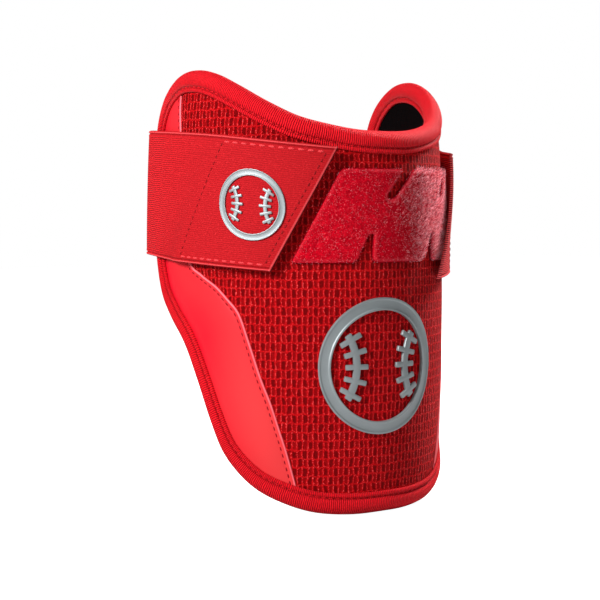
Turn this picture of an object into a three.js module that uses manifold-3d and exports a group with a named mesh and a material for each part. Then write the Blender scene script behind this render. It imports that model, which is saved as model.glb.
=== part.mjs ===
// A batter's elbow guard: a padded cuff with a mesh front, smooth side wings, a bound edge and an
// elastic strap that closes it round the arm. Millimetres, +Z up the arm, the front faces -Y, and
// the origin lies on the arm's axis, inside the hollow.
import * as THREE from "three";
import { mergeVertices } from "three/addons/utils/BufferGeometryUtils.js";
import Module from "manifold-3d";

const wasm = await Module();
wasm.setup();

// The cuff, seen from above: a round front, then flatter sides.
const FRONT_RADIUS = 58;
const FRONT_HALF_ANGLE = THREE.MathUtils.degToRad(73);
const SIDE_RADIUS = 96;
// The cuff narrows a little towards its top and its bottom, by BARREL_DROP at BARREL_REACH.
const BARREL_DROP = 2;
const BARREL_REACH = 80;

// The cuff laid flat: half its width, and its reach above and below the origin.
const HALF_WRAP = 122;
const EAR_HEIGHT = 94;
const TONGUE_DEPTH = 82;

// Walls, and the gap that pieces keep.
const GAP = 0.3;
const TAPE_THICKNESS = 0.8;
const SKIN_THICKNESS = 1.3;
const LINING_THICKNESS = 2.4;
const PATCH_THICKNESS = 1.6;
const HOOK_THICKNESS = 1.1;
const STRAP_THICKNESS = 1.6;
const BADGE_THICKNESS = 1.4;
const TAB_BADGE_THICKNESS = 0.8;

// The binding: how far it reaches in from the edge, and its rolled rim.
const BINDING_WIDTH = 10;
const ROLL_WIDTH = 7.6;
const ROLL_PROUD = 0.3;
const RIM_WALL = 2.6;
const RIM_CLEARANCE = 0.8;

// The seam between a wing and the mesh.
const SEAM_GAP = 0.4;

// The strap. It turns sharply where it leaves the cuff, and narrows a little towards its tab.
const STRAP_WIDTH = 52;
const TAB_WIDTH = 48;
const STRAP_RISE = 45;
const STRAP_BACK = 66;
const EDGE_TURN = THREE.MathUtils.degToRad(24);
const EDGE_TURN_RADIUS = 5;
const BACK_HANDLE = 0.55;
const SEWN_END = 42;
const SEWN_SLANT = 30;
const TAB_END = 35;
const TAB_SLANT = 25;
const TAB_LENGTH = 43;
const TAB_MARGIN = 2.5;
// The tab stays level for TAB_LEVEL beyond its hook tape, then comes down over TAB_RAMP.
const TAB_LEVEL = 1;
const TAB_RAMP = 13;
const SLANT_FADE = 40;
// The rise of the strap's middle line, as shares of STRAP_RISE.
const STRAP_RISES = { sewn: 0.8, right: 0.94, back: 1, left: 1.005, tab: 0.855 };

// The loop patches, which the strap's tab grips.
const PATCH_RISE = 36;
const PATCH_HEIGHT = 37;
const PATCH_SLANT = 20;
const PATCH_LEFT = -31;
const PATCH_RIGHT = 54;
const HIDDEN_PATCH_LENGTH = 35;
const PATCH_SPACING = 7.5;

// The ball badges on the front and on the tab.
const BADGE_DIAMETER = 54;
const BADGE_STROKE = 5;
const BADGE_WRAP = -3;
const BADGE_RISE = -23;
const TAB_BADGE_DIAMETER = 26;
const TAB_BADGE_STROKE = 2.4;
const TAB_BADGE_BACK = 20;
const BADGE_BEVEL_HEIGHT = 0.35;
const BADGE_BEVEL_WIDTH = 0.2;
// A badge's two seams, as shares of its diameter: each one's radius and how far out its centre is.
const LACE_ARC = THREE.MathUtils.degToRad(34);
const LACE_RADIUS = 0.42;
const LACE_CENTRE = 0.63;
// The half width of a seam's band and the size of its stitches, as shares of the badge's stroke.
const LACE_HALF_WIDTH = 0.3;
const LACE_STITCH_LENGTH = 1.9;
const LACE_STITCH_WIDTH = 0.42;
const LACE_STITCHES = 5;
// The share of the seam's arc that its stitches cover.
const LACE_STITCH_SPREAD = 0.82;

// The cuff's outline laid flat, right half, as shares of its half width and of its height. A rise
// above nought is a share of EAR_HEIGHT, and one below it a share of TONGUE_DEPTH.
const OUTLINE = [
  { wrap: 0.0, rise: 0.735 },
  { wrap: 0.104, rise: 0.74 },
  { wrap: 0.207, rise: 0.761 },
  { wrap: 0.31, rise: 0.794 },
  { wrap: 0.414, rise: 0.852 },
  { wrap: 0.531, rise: 0.925 },
  { wrap: 0.635, rise: 0.978 },
  { wrap: 0.722, rise: 1.0 },
  { wrap: 0.811, rise: 0.995 },
  { wrap: 0.881, rise: 0.958 },
  { wrap: 0.946, rise: 0.888 },
  { wrap: 0.993, rise: 0.775 },
  { wrap: 1.0, rise: 0.604 },
  { wrap: 0.991, rise: 0.305 },
  { wrap: 0.961, rise: 0.13 },
  { wrap: 0.918, rise: 0.014 },
  { wrap: 0.857, rise: -0.083 },
  { wrap: 0.774, rise: -0.203 },
  { wrap: 0.706, rise: -0.377 },
  { wrap: 0.652, rise: -0.55 },
  { wrap: 0.597, rise: -0.704 },
  { wrap: 0.533, rise: -0.806 },
  { wrap: 0.458, rise: -0.884 },
  { wrap: 0.362, rise: -0.942 },
  { wrap: 0.257, rise: -0.983 },
  { wrap: 0.128, rise: -1.0 },
  { wrap: 0.0, rise: -1.0 },
];

// The seam between the mesh and the right wing, from above the top edge to below the bottom one.
const SEAM = [
  { wrap: 0.816, rise: 1.06 },
  { wrap: 0.795, rise: 0.75 },
  { wrap: 0.73, rise: 0.186 },
  { wrap: 0.668, rise: 0.133 },
  { wrap: 0.598, rise: 0.085 },
  { wrap: 0.553, rise: 0.037 },
  { wrap: 0.512, rise: -0.018 },
  { wrap: 0.471, rise: -0.164 },
  { wrap: 0.43, rise: -0.335 },
  { wrap: 0.398, rise: -0.45 },
  { wrap: 0.369, rise: -0.578 },
  { wrap: 0.344, rise: -0.693 },
  { wrap: 0.316, rise: -0.852 },
  { wrap: 0.292, rise: -1.06 },
];

// The roll's outer face, from its inner side to its rim: reach in from the edge as a share of
// ROLL_WIDTH, and how far it stands out as a share of ROLL_PROUD.
const ROLL = [
  { reach: 0.85, proud: 0.9 },
  { reach: 0.42, proud: 1.0 },
  { reach: 0.12, proud: 0 },
];

// The slits in the loop patch: the middle of each at the patch's mid height, and the corners of
// its upper and lower notch, as shares of the patch's height.
const SLITS = [-2, 32];
const NOTCHES = [
  [
    { wrap: 0.28, rise: 0.52 },
    { wrap: 0.43, rise: 0.52 },
    { wrap: 0.12, rise: 0.18 },
    { wrap: 0.02, rise: 0.19 },
  ],
  [
    { wrap: -0.34, rise: -0.52 },
    { wrap: -0.17, rise: -0.52 },
    { wrap: -0.16, rise: -0.3 },
    { wrap: -0.145, rise: -0.19 },
    { wrap: -0.2, rise: -0.21 },
  ],
];

// How finely the pieces are divided.
const OUTLINE_STEPS = 208;
const BINDING_STEPS = 96;
const CUFF_COLUMNS = 44;
const CUFF_ROWS = 5;
const SEAM_STEPS = 18;
const STRAP_COLUMNS = 64;
const STRAP_ROWS = 4;
const PATCH_COLUMNS = 16;
const PATCH_ROWS = 3;
const HOOK_COLUMNS = 8;
const BADGE_SEGMENTS = 21;
// The narrowest column of a sheet, and the least distance between two of them.
const LEAST_COLUMN = 1;
const LEAST_STEP = 0.8;
const COLUMN_INSET = 0.2;
// The radius at which the binding's ring is turned before it is bent, and the slits' cutting depth.
const TURNING_RADIUS = 1000;
const SLIT_CUT = 3 * PATCH_THICKNESS;

// Depths under the cuff's outer face, which is the outside of the binding's tape.
const SKIN_TOP = TAPE_THICKNESS + GAP;
const SKIN_UNDER = SKIN_TOP + SKIN_THICKNESS;
const LINING_TOP = SKIN_UNDER + GAP;
const LINING_UNDER = LINING_TOP + LINING_THICKNESS;
const INNER_TAPE_TOP = LINING_UNDER + GAP;
const PATCH_UNDER = SKIN_TOP - GAP;
const PATCH_TOP = PATCH_UNDER - PATCH_THICKNESS;
const HOOK_UNDER = PATCH_TOP - GAP;
const HOOK_TOP = HOOK_UNDER - HOOK_THICKNESS;
const STRAP_UNDER = Math.min(PATCH_TOP, -ROLL_PROUD) - GAP;
const TAB_UNDER = HOOK_TOP - GAP;

const lerp = THREE.MathUtils.lerp;
const smoothstep = THREE.MathUtils.smoothstep;

// The closed loop that the cuff and the strap follow, seen from above.
const SIDE_START = FRONT_RADIUS * FRONT_HALF_ANGLE;
const EDGE_ANGLE = FRONT_HALF_ANGLE + (HALF_WRAP - SIDE_START) / SIDE_RADIUS;
const SIDE_CENTRE = FRONT_RADIUS - SIDE_RADIUS;
const EDGE = new THREE.Vector2(
  SIDE_CENTRE * Math.sin(FRONT_HALF_ANGLE) + SIDE_RADIUS * Math.sin(EDGE_ANGLE),
  -SIDE_CENTRE * Math.cos(FRONT_HALF_ANGLE) - SIDE_RADIUS * Math.cos(EDGE_ANGLE),
);
const TURN_CENTRE = new THREE.Vector2(
  EDGE.x - EDGE_TURN_RADIUS * Math.sin(EDGE_ANGLE),
  EDGE.y + EDGE_TURN_RADIUS * Math.cos(EDGE_ANGLE),
);
const TURN_END = HALF_WRAP + EDGE_TURN_RADIUS * EDGE_TURN;
const LEAVING_ANGLE = EDGE_ANGLE + EDGE_TURN;
const LEAVING = new THREE.Vector2(
  TURN_CENTRE.x + EDGE_TURN_RADIUS * Math.sin(LEAVING_ANGLE),
  TURN_CENTRE.y - EDGE_TURN_RADIUS * Math.cos(LEAVING_ANGLE),
);
const backCurve = new THREE.CubicBezierCurve(
  LEAVING,
  new THREE.Vector2(
    LEAVING.x + Math.cos(LEAVING_ANGLE) * BACK_HANDLE * (STRAP_BACK - LEAVING.y),
    LEAVING.y + Math.sin(LEAVING_ANGLE) * BACK_HANDLE * (STRAP_BACK - LEAVING.y),
  ),
  new THREE.Vector2(BACK_HANDLE * LEAVING.x, STRAP_BACK),
  new THREE.Vector2(0, STRAP_BACK),
);
const LOOP = 2 * (TURN_END + backCurve.getLength());

// The point that lies wrap along the loop from the front's middle, and the way out of the loop.
function planPoint(wrap) {
  const around = wrap > LOOP / 2 ? wrap - LOOP : wrap;
  const side = around < 0 ? -1 : 1;
  const reach = Math.abs(around);
  let at;
  let angle;
  if (reach <= SIDE_START) {
    angle = reach / FRONT_RADIUS;
    at = new THREE.Vector2(Math.sin(angle), -Math.cos(angle)).multiplyScalar(FRONT_RADIUS);
  } else if (reach <= HALF_WRAP) {
    angle = FRONT_HALF_ANGLE + (reach - SIDE_START) / SIDE_RADIUS;
    at = new THREE.Vector2(
      SIDE_CENTRE * Math.sin(FRONT_HALF_ANGLE) + SIDE_RADIUS * Math.sin(angle),
      -SIDE_CENTRE * Math.cos(FRONT_HALF_ANGLE) - SIDE_RADIUS * Math.cos(angle),
    );
  } else if (reach <= TURN_END) {
    angle = EDGE_ANGLE + (reach - HALF_WRAP) / EDGE_TURN_RADIUS;
    at = new THREE.Vector2(
      TURN_CENTRE.x + EDGE_TURN_RADIUS * Math.sin(angle),
      TURN_CENTRE.y - EDGE_TURN_RADIUS * Math.cos(angle),
    );
  } else {
    const share = Math.min(1, (reach - TURN_END) / (LOOP / 2 - TURN_END));
    const along = backCurve.getTangentAt(share);
    at = backCurve.getPointAt(share);
    angle = Math.atan2(along.y, along.x);
  }
  return { x: side * at.x, y: at.y, outX: side * Math.sin(angle), outY: -Math.cos(angle) };
}

// A point of the guard from its place on the flat pattern and its depth under the outer face.
function onGuard(wrap, rise, depth) {
  const plan = planPoint(wrap);
  const inward = depth + BARREL_DROP * (rise / BARREL_REACH) ** 2;
  return new THREE.Vector3(plan.x - plan.outX * inward, plan.y - plan.outY * inward, rise);
}

// Moves every vertex of a geometry to where place puts it, and joins the vertices that meet.
function bend(geometry, place) {
  const at = geometry.attributes.position;
  const from = new THREE.Vector3();
  for (let i = 0; i < at.count; i++) {
    const to = place(from.fromBufferAttribute(at, i));
    at.setXYZ(i, to.x, to.y, to.z);
  }
  geometry.deleteAttribute("normal");
  geometry.deleteAttribute("uv");
  const joined = mergeVertices(geometry, 1e-4);
  joined.computeVertexNormals();
  return joined;
}

// A box bent into a sheet: u runs along the wrap, v up the rise, and w from its under to its top.
function bentBox(columns, rows, place) {
  const box = new THREE.BoxGeometry(1, 1, 1, columns, rows, 1);
  return bend(box, (p) => place(p.x + 0.5, p.y + 0.5, p.z + 0.5));
}

// A solid for joining and cutting, from a geometry whose vertices are merged.
function solidOf(geometry) {
  const bare = geometry.clone();
  bare.deleteAttribute("normal");
  bare.deleteAttribute("uv");
  const joined = mergeVertices(bare, 1e-4);
  return new wasm.Manifold(
    new wasm.Mesh({
      numProp: 3,
      vertProperties: new Float32Array(joined.attributes.position.array),
      triVerts: new Uint32Array(joined.index.array),
    }),
  );
}

// The geometry of a solid that has been joined or cut.
function geometryOf(solid) {
  const mesh = solid.getMesh();
  const geometry = new THREE.BufferGeometry();
  geometry.setAttribute("position", new THREE.BufferAttribute(mesh.vertProperties, 3));
  geometry.setIndex(new THREE.BufferAttribute(mesh.triVerts, 1));
  geometry.computeVertexNormals();
  return geometry;
}

// Rows of a table of shares, as points of the flat pattern.
function patternPoints(table) {
  return table.map(
    ({ wrap, rise }) =>
      new THREE.Vector3(wrap * HALF_WRAP, rise * (rise > 0 ? EAR_HEIGHT : TONGUE_DEPTH), 0),
  );
}

// The outline, anticlockwise from the bottom's middle, with the left half mirrored from the right.
function outlineCurve() {
  const right = patternPoints(OUTLINE).reverse();
  const left = right
    .slice(1, -1)
    .reverse()
    .map((p) => new THREE.Vector3(-p.x, p.y, 0));
  return new THREE.CatmullRomCurve3([...right, ...left], true, "centripetal");
}

// A line of points moved sideways to its left, by distance.
function movedLeft(points, distance, closed) {
  const count = points.length;
  return points.map((p, i) => {
    const before = closed ? points[(i + count - 1) % count] : points[Math.max(i - 1, 0)];
    const after = closed ? points[(i + 1) % count] : points[Math.min(i + 1, count - 1)];
    const along = after.clone().sub(before).normalize();
    return new THREE.Vector3(p.x - along.y * distance, p.y + along.x * distance, 0);
  });
}

// The rises at which a line of points crosses a wrap, lowest first.
function crossings(points, wrap, closed) {
  const found = [];
  const last = closed ? points.length : points.length - 1;
  for (let i = 0; i < last; i++) {
    const a = points[i];
    const b = points[(i + 1) % points.length];
    if (a.x <= wrap !== b.x <= wrap) found.push(lerp(a.y, b.y, (wrap - a.x) / (b.x - a.x)));
  }
  return found.sort((a, b) => a - b);
}

const outline = outlineCurve();
const outlineLine = outline.getSpacedPoints(OUTLINE_STEPS).slice(0, -1);
// The edge of the padded cloth, inside the binding's rim.
const clothEdge = movedLeft(outlineLine, RIM_WALL + RIM_CLEARANCE, true);
const CLOTH_REACH = Math.max(...clothEdge.map((p) => p.x));
const seamLine = new THREE.CatmullRomCurve3(patternPoints(SEAM)).getSpacedPoints(SEAM_STEPS);

// The wraps of the columns that all sheets of the cuff share: closer together towards its sides,
// with one at each point of the two seams.
const cuffColumns = sharedColumns();

function sharedColumns() {
  const reach = CLOTH_REACH - COLUMN_INSET;
  const even = Array.from({ length: CUFF_COLUMNS + 1 }, (_, i) => {
    return reach * Math.sin((i / CUFF_COLUMNS - 0.5) * Math.PI);
  });
  const seams = seamLine.flatMap((p) => [p.x, -p.x]).filter((x) => Math.abs(x) < reach);
  const kept = even.filter((x) => seams.every((s) => Math.abs(s - x) > LEAST_STEP));
  return [...kept, ...seams].sort((a, b) => a - b);
}

function clothSpan(wrap) {
  const found = crossings(clothEdge, wrap, true);
  return { low: found[0], high: found[found.length - 1] };
}

// The seam's rise at a wrap and half the gap along the rise that keeps the two cloths apart, or
// nothing where no seam runs.
function seamAt(wrap) {
  const reach = Math.abs(wrap);
  const next = seamLine.findIndex((p) => p.x <= reach);
  if (next < 1) return undefined;
  const [a, b] = [seamLine[next - 1], seamLine[next]];
  const steepness = a.distanceTo(b) / (a.x - b.x);
  return { rise: lerp(a.y, b.y, (a.x - reach) / (a.x - b.x)), half: (SEAM_GAP * steepness) / 2 };
}

function meshSpan(wrap) {
  const { low, high } = clothSpan(wrap);
  const seam = seamAt(wrap);
  if (Math.abs(wrap) >= seamLine[0].x) return { low, high: low };
  return { low: seam ? Math.max(low, seam.rise + seam.half) : low, high };
}

function wingSpan(wrap) {
  const { low, high } = clothSpan(wrap);
  const seam = seamAt(wrap);
  if (Math.abs(wrap) <= seamLine.at(-1).x) return { low, high: low };
  return { low, high: seam ? Math.min(high, seam.rise - seam.half) : high };
}

// A sheet of the cuff from the first column to the last at which its span is tall enough, and
// from the depth under it to the depth of its top.
function cuffSheet(span, under, top, side = 0) {
  const columns = cuffColumns
    .filter((wrap) => side === 0 || wrap * side > 0)
    .filter((wrap) => span(wrap).high - span(wrap).low > LEAST_COLUMN);
  const last = columns.length - 1;
  return bentBox(last, CUFF_ROWS, (u, v, w) => {
    const wrap = columns[Math.round(u * last)];
    const { low, high } = span(wrap);
    return onGuard(wrap, lerp(low, high, v), lerp(under, top, w));
  });
}

// The binding's section, as reach in from the edge and depth: the outer arm, the roll round the
// edge, the inner arm, and the slot that holds the cloth.
function bindingSection() {
  const middle = (LINING_UNDER + SKIN_TOP) / 2;
  const outer = [
    [BINDING_WIDTH, 0],
    ...ROLL.map(({ reach, proud }) => [reach * ROLL_WIDTH, -ROLL_PROUD * proud]),
  ];
  outer[outer.length - 1][1] = TAPE_THICKNESS;
  const inner = outer.map(([reach, depth]) => [reach, 2 * middle - depth]).reverse();
  const slot = [
    [BINDING_WIDTH, INNER_TAPE_TOP],
    [RIM_WALL, INNER_TAPE_TOP],
    [RIM_WALL, TAPE_THICKNESS],
    [BINDING_WIDTH, TAPE_THICKNESS],
  ];
  return [...outer, [0, middle], ...inner, ...slot];
}

// A ring turned from the section, with each slice then moved to its place on the outline.
function edgeBinding() {
  const section = bindingSection();
  const profile = [...section, section[0]].map(([reach, depth]) => {
    return new THREE.Vector2(TURNING_RADIUS + reach, depth);
  });
  const ring = new THREE.LatheGeometry(profile.reverse(), BINDING_STEPS);
  const stations = outline.getSpacedPoints(BINDING_STEPS).slice(0, -1);
  const inwards = movedLeft(stations, 1, true).map((p, i) => p.sub(stations[i]));
  return bend(ring, (p) => {
    const turn = Math.atan2(p.x, p.z) / (2 * Math.PI);
    const slice = (Math.round(turn * BINDING_STEPS) + BINDING_STEPS) % BINDING_STEPS;
    const reach = Math.hypot(p.x, p.z) - TURNING_RADIUS;
    const at = stations[slice].clone().addScaledVector(inwards[slice], reach);
    return onGuard(at.x, at.y, p.y);
  });
}

// The strap's middle line on the flat pattern, from its sewn end round the back to its tab.
const strapLine = new THREE.SplineCurve([
  new THREE.Vector2(SEWN_END, STRAP_RISES.sewn * STRAP_RISE),
  new THREE.Vector2(HALF_WRAP, STRAP_RISES.right * STRAP_RISE),
  new THREE.Vector2(LOOP / 2, STRAP_RISES.back * STRAP_RISE),
  new THREE.Vector2(LOOP - HALF_WRAP, STRAP_RISES.left * STRAP_RISE),
  new THREE.Vector2(LOOP - TAB_END, STRAP_RISES.tab * STRAP_RISE),
]);
const STRAP_LENGTH = strapLine.getLength();

// A point of the strap: length from its sewn end, share across it from its lower edge, and how
// far it stands out from the face that lies on the cuff. Its ends are cut at a slant.
function onStrap(length, across, outward) {
  const middle = strapLine.getPointAt(THREE.MathUtils.clamp(length / STRAP_LENGTH, 0, 1));
  const fromTab = STRAP_LENGTH - length;
  const sewnSlant = SEWN_SLANT * (1 - smoothstep(length, 0, SLANT_FADE));
  const tabSlant = TAB_SLANT * (1 - smoothstep(fromTab, TAB_LENGTH, TAB_LENGTH + SLANT_FADE));
  const rampStart = TAB_LENGTH + TAB_LEVEL;
  const lift = 1 - smoothstep(fromTab, rampStart, rampStart + TAB_RAMP);
  const width = lerp(TAB_WIDTH, STRAP_WIDTH, smoothstep(fromTab, 0, 2 * TAB_LENGTH));
  return onGuard(
    middle.x + (sewnSlant + tabSlant) * (across - 0.5),
    middle.y + width * (across - 0.5),
    lerp(STRAP_UNDER, TAB_UNDER, lift) - outward,
  );
}

function strap() {
  return bentBox(STRAP_COLUMNS, STRAP_ROWS, (u, v, w) =>
    onStrap(u * STRAP_LENGTH, v, w * STRAP_THICKNESS),
  );
}

// The hook tape under the strap's tab.
function hookTab() {
  const margin = TAB_MARGIN / TAB_WIDTH;
  return bentBox(HOOK_COLUMNS, STRAP_ROWS, (u, v, w) =>
    onStrap(
      STRAP_LENGTH - lerp(TAB_LENGTH, TAB_MARGIN, u),
      lerp(margin, 1 - margin, v),
      lerp(TAB_UNDER - HOOK_UNDER, TAB_UNDER - HOOK_TOP, w),
    ),
  );
}

// A loop patch between two wraps at its mid height, with both ends cut at the patches' slant.
function patch(from, to, columns) {
  return bentBox(columns, PATCH_ROWS, (u, v, w) =>
    onGuard(
      lerp(from, to, u) + PATCH_SLANT * (v - 0.5),
      PATCH_RISE + PATCH_HEIGHT * (v - 0.5),
      lerp(PATCH_UNDER, PATCH_TOP, w),
    ),
  );
}

function loopPatch() {
  let solid = solidOf(patch(PATCH_LEFT, PATCH_RIGHT, PATCH_COLUMNS));
  for (const middle of SLITS) {
    for (const corners of NOTCHES) {
      const shape = new THREE.Shape(
        corners.map(
          ({ wrap, rise }) => new THREE.Vector2(wrap * PATCH_HEIGHT, rise * PATCH_HEIGHT),
        ),
      );
      const prism = new THREE.ExtrudeGeometry(shape, { depth: SLIT_CUT, bevelEnabled: false });
      const cutter = bend(prism, (p) =>
        onGuard(middle + p.x, PATCH_RISE + p.y, PATCH_UNDER + PATCH_THICKNESS - p.z),
      );
      solid = solid.subtract(solidOf(cutter));
    }
  }
  return geometryOf(solid);
}

function hiddenPatch() {
  const right = PATCH_LEFT - PATCH_SPACING;
  return patch(right - HIDDEN_PATCH_LENGTH, right, PATCH_COLUMNS / 2);
}

// A ball's outline as a flat ring whose upper rims are bevelled.
function ballRing(diameter, stroke, thickness) {
  const bevel = Math.min(BADGE_BEVEL_HEIGHT * thickness, BADGE_BEVEL_WIDTH * stroke);
  const outer = diameter / 2;
  const inner = outer - stroke;
  const section = [
    [inner, 0],
    [outer, 0],
    [outer, thickness - bevel],
    [outer - bevel, thickness],
    [inner + bevel, thickness],
    [inner, thickness - bevel],
    [inner, 0],
  ];
  const profile = section.map(([radius, height]) => new THREE.Vector2(radius, height));
  return new THREE.LatheGeometry(profile, 2 * BADGE_SEGMENTS).rotateX(Math.PI / 2);
}

// One seam of the ball, a band that bows towards its middle, with short stitches across it.
function ballSeam(diameter, stroke, thickness, side) {
  const radius = LACE_RADIUS * diameter;
  const centre = -LACE_CENTRE * diameter;
  const half = LACE_HALF_WIDTH * stroke;
  const band = new THREE.Shape().absarc(centre, 0, radius + half, -LACE_ARC, LACE_ARC, false);
  band.absarc(centre, 0, radius - half, LACE_ARC, -LACE_ARC, true);
  let solid = solidOf(
    new THREE.ExtrudeGeometry(band, {
      depth: thickness,
      bevelEnabled: false,
      curveSegments: BADGE_SEGMENTS / 3,
    }),
  );
  const stitchLength = LACE_STITCH_LENGTH * stroke;
  const stitchWidth = LACE_STITCH_WIDTH * stroke;
  for (let i = 0; i < LACE_STITCHES; i++) {
    const angle = LACE_ARC * LACE_STITCH_SPREAD * ((2 * i) / (LACE_STITCHES - 1) - 1);
    const stitch = new THREE.BoxGeometry(stitchLength, stitchWidth, thickness)
      .translate(radius, 0, thickness / 2)
      .rotateZ(angle)
      .translate(centre, 0, 0);
    solid = solid.add(solidOf(stitch));
  }
  const flat = geometryOf(solid);
  return side < 0 ? flat : flat.rotateZ(Math.PI);
}

function onFront(flat) {
  return bend(flat, (p) =>
    onGuard(BADGE_WRAP + p.x, BADGE_RISE + p.y, SKIN_TOP - GAP - p.z),
  );
}

function onTab(flat) {
  return bend(flat, (p) =>
    onStrapFlat(STRAP_LENGTH - TAB_BADGE_BACK + p.x, p.y, STRAP_THICKNESS + GAP + p.z),
  );
}

// A point of the tab from an upright pattern: the slant of the strap's ends is taken out.
function onStrapFlat(length, up, outward) {
  return onStrap(length - (TAB_SLANT * up) / TAB_WIDTH, 0.5 + up / TAB_WIDTH, outward);
}

const RED_MESH = { color: 0x9c0f1c, roughness: 0.85, metalness: 0 };
const RED_WING = { color: 0xd81e2c, roughness: 0.55, metalness: 0 };
const RED_TAPE = { color: 0xc81624, roughness: 0.8, metalness: 0 };
const RED_PILE = { color: 0xb3121f, roughness: 1, metalness: 0 };
const BLACK_LINING = { color: 0x0c0a0b, roughness: 0.9, metalness: 0 };
const SILVER = { color: 0xa9acae, roughness: 0.4, metalness: 0.3 };

const guard = new THREE.Group();

function addPiece(name, geometry, finish) {
  const mesh = new THREE.Mesh(geometry, new THREE.MeshStandardMaterial(finish));
  mesh.name = name;
  guard.add(mesh);
}

addPiece("lining", cuffSheet(clothSpan, LINING_UNDER, LINING_TOP), BLACK_LINING);
addPiece("mesh_panel", cuffSheet(meshSpan, SKIN_UNDER, SKIN_TOP), RED_MESH);
addPiece("wing_left", cuffSheet(wingSpan, SKIN_UNDER, SKIN_TOP, -1), RED_WING);
addPiece("wing_right", cuffSheet(wingSpan, SKIN_UNDER, SKIN_TOP, 1), RED_WING);
addPiece("edge_binding", edgeBinding(), RED_TAPE);
addPiece("loop_patch", loopPatch(), RED_PILE);
addPiece("loop_patch_hidden", hiddenPatch(), RED_PILE);
addPiece("hook_tab", hookTab(), RED_PILE);
addPiece("strap", strap(), RED_TAPE);

const BADGE = [BADGE_DIAMETER, BADGE_STROKE, BADGE_THICKNESS];
const TAB_BADGE = [TAB_BADGE_DIAMETER, TAB_BADGE_STROKE, TAB_BADGE_THICKNESS];
addPiece("badge_ring", onFront(ballRing(...BADGE)), SILVER);
addPiece("badge_seam_left", onFront(ballSeam(...BADGE, -1)), SILVER);
addPiece("badge_seam_right", onFront(ballSeam(...BADGE, 1)), SILVER);
addPiece("tab_badge_ring", onTab(ballRing(...TAB_BADGE)), SILVER);
addPiece("tab_badge_seam_left", onTab(ballSeam(...TAB_BADGE, -1)), SILVER);
addPiece("tab_badge_seam_right", onTab(ballSeam(...TAB_BADGE, 1)), SILVER);

export default guard;
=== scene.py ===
"""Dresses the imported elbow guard: cloth, padding, binding, strap, stitches, badges and the studio."""

import math
from contextlib import contextmanager
from functools import partialmethod

import bpy
import numpy as np
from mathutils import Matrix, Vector
from mathutils.geometry import delaunay_2d_cdt


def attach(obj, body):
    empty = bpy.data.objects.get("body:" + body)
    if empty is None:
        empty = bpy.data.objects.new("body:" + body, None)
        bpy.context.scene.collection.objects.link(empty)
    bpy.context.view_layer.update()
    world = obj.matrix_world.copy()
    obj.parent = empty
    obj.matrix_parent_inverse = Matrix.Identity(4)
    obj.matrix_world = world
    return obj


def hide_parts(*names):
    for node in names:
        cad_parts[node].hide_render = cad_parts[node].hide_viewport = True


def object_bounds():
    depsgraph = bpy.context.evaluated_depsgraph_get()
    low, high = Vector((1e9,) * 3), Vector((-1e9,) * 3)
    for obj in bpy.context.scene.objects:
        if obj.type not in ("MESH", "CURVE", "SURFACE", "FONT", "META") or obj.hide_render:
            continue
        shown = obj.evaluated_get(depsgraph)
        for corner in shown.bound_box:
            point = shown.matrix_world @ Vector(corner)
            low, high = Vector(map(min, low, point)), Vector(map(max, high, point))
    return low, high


bl_info = {
    "name": "Elbow guard dressing",
    "version": (1, 0, 0),
    "blender": (4, 5, 0),
    "location": "View3D > Sidebar > Elbow Guard",
    "description": "Cloth, padding, binding, strap, stitches and badges of a batter's elbow guard",
    "category": "Object",
}

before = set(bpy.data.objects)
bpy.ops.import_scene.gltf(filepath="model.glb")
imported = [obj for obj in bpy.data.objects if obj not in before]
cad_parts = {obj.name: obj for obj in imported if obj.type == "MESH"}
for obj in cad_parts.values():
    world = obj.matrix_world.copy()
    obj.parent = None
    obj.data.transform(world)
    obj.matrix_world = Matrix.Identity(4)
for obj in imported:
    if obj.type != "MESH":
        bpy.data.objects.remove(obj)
cad_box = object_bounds()

# All lengths below are millimetres on the cuff laid flat, and MM brings them to metres.
MM = 0.001

# The cuff, seen from above: a round front, then flatter sides.
FRONT_RADIUS = 58
FRONT_HALF_ANGLE = math.radians(73)
SIDE_RADIUS = 96
BARREL_DROP = 2
BARREL_REACH = 80
HALF_WRAP = 122
EAR_HEIGHT = 94
TONGUE_DEPTH = 82
STRAP_BACK = 66
BACK_HANDLE = 0.55
EDGE_TURN = math.radians(24)
EDGE_TURN_RADIUS = 5

# Depths under the outer face of the binding's tape.
SKIN_TOP = 1.1
LINING_TOP = 2.7
LINING_UNDER = 5.1
WALL_MIDDLE = 3.1
STRAP_UNDER = -1.1
TAB_UNDER = -2.5
HOOK_UNDER = -1.1
HOOK_TOP = -2.2
PATCH_TOP = -0.8

# The strap, its slanted ends and its tab. Its sewn end lifts by the flares at its low and high edge.
STRAP_WIDTH = 52
TAB_WIDTH = 48
STRAP_RISE = 45
STRAP_THICKNESS = 1.6
SEWN_END = 42
SEWN_SLANT = 30
TAB_END = 35
TAB_SLANT = 25
TAB_LENGTH = 43
TAB_MARGIN = 2.5
SLANT_FADE = 40
TAB_LEVEL = 1
TAB_RAMP = 13
FLARE_REACH = 15
FLARE_LOW = 0.9
FLARE_HIGH = 2.4
# The rise of the strap's middle line: sewn end, right edge, back, left edge and tab.
STRAP_RISES = (0.8, 0.94, 1.0, 1.005, 0.855)

# The loop patches.
PATCH_RISE = 36
PATCH_HEIGHT = 37
PATCH_SLANT = 20
PATCH_LEFT = -31
PATCH_RIGHT = 54
HIDDEN_PATCH_LENGTH = 35
PATCH_SPACING = 7.5
PATCH_CORNER = 2.6
SLITS = (-2, 32)
# Corners of the upper and the lower notch of each slit, as shares of the patch's height.
NOTCHES = (
    ((0.28, 0.52), (0.02, 0.19), (0.12, 0.18), (0.43, 0.52)),
    ((-0.17, -0.52), (-0.16, -0.3), (-0.145, -0.19), (-0.2, -0.21), (-0.34, -0.52)),
)

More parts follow.
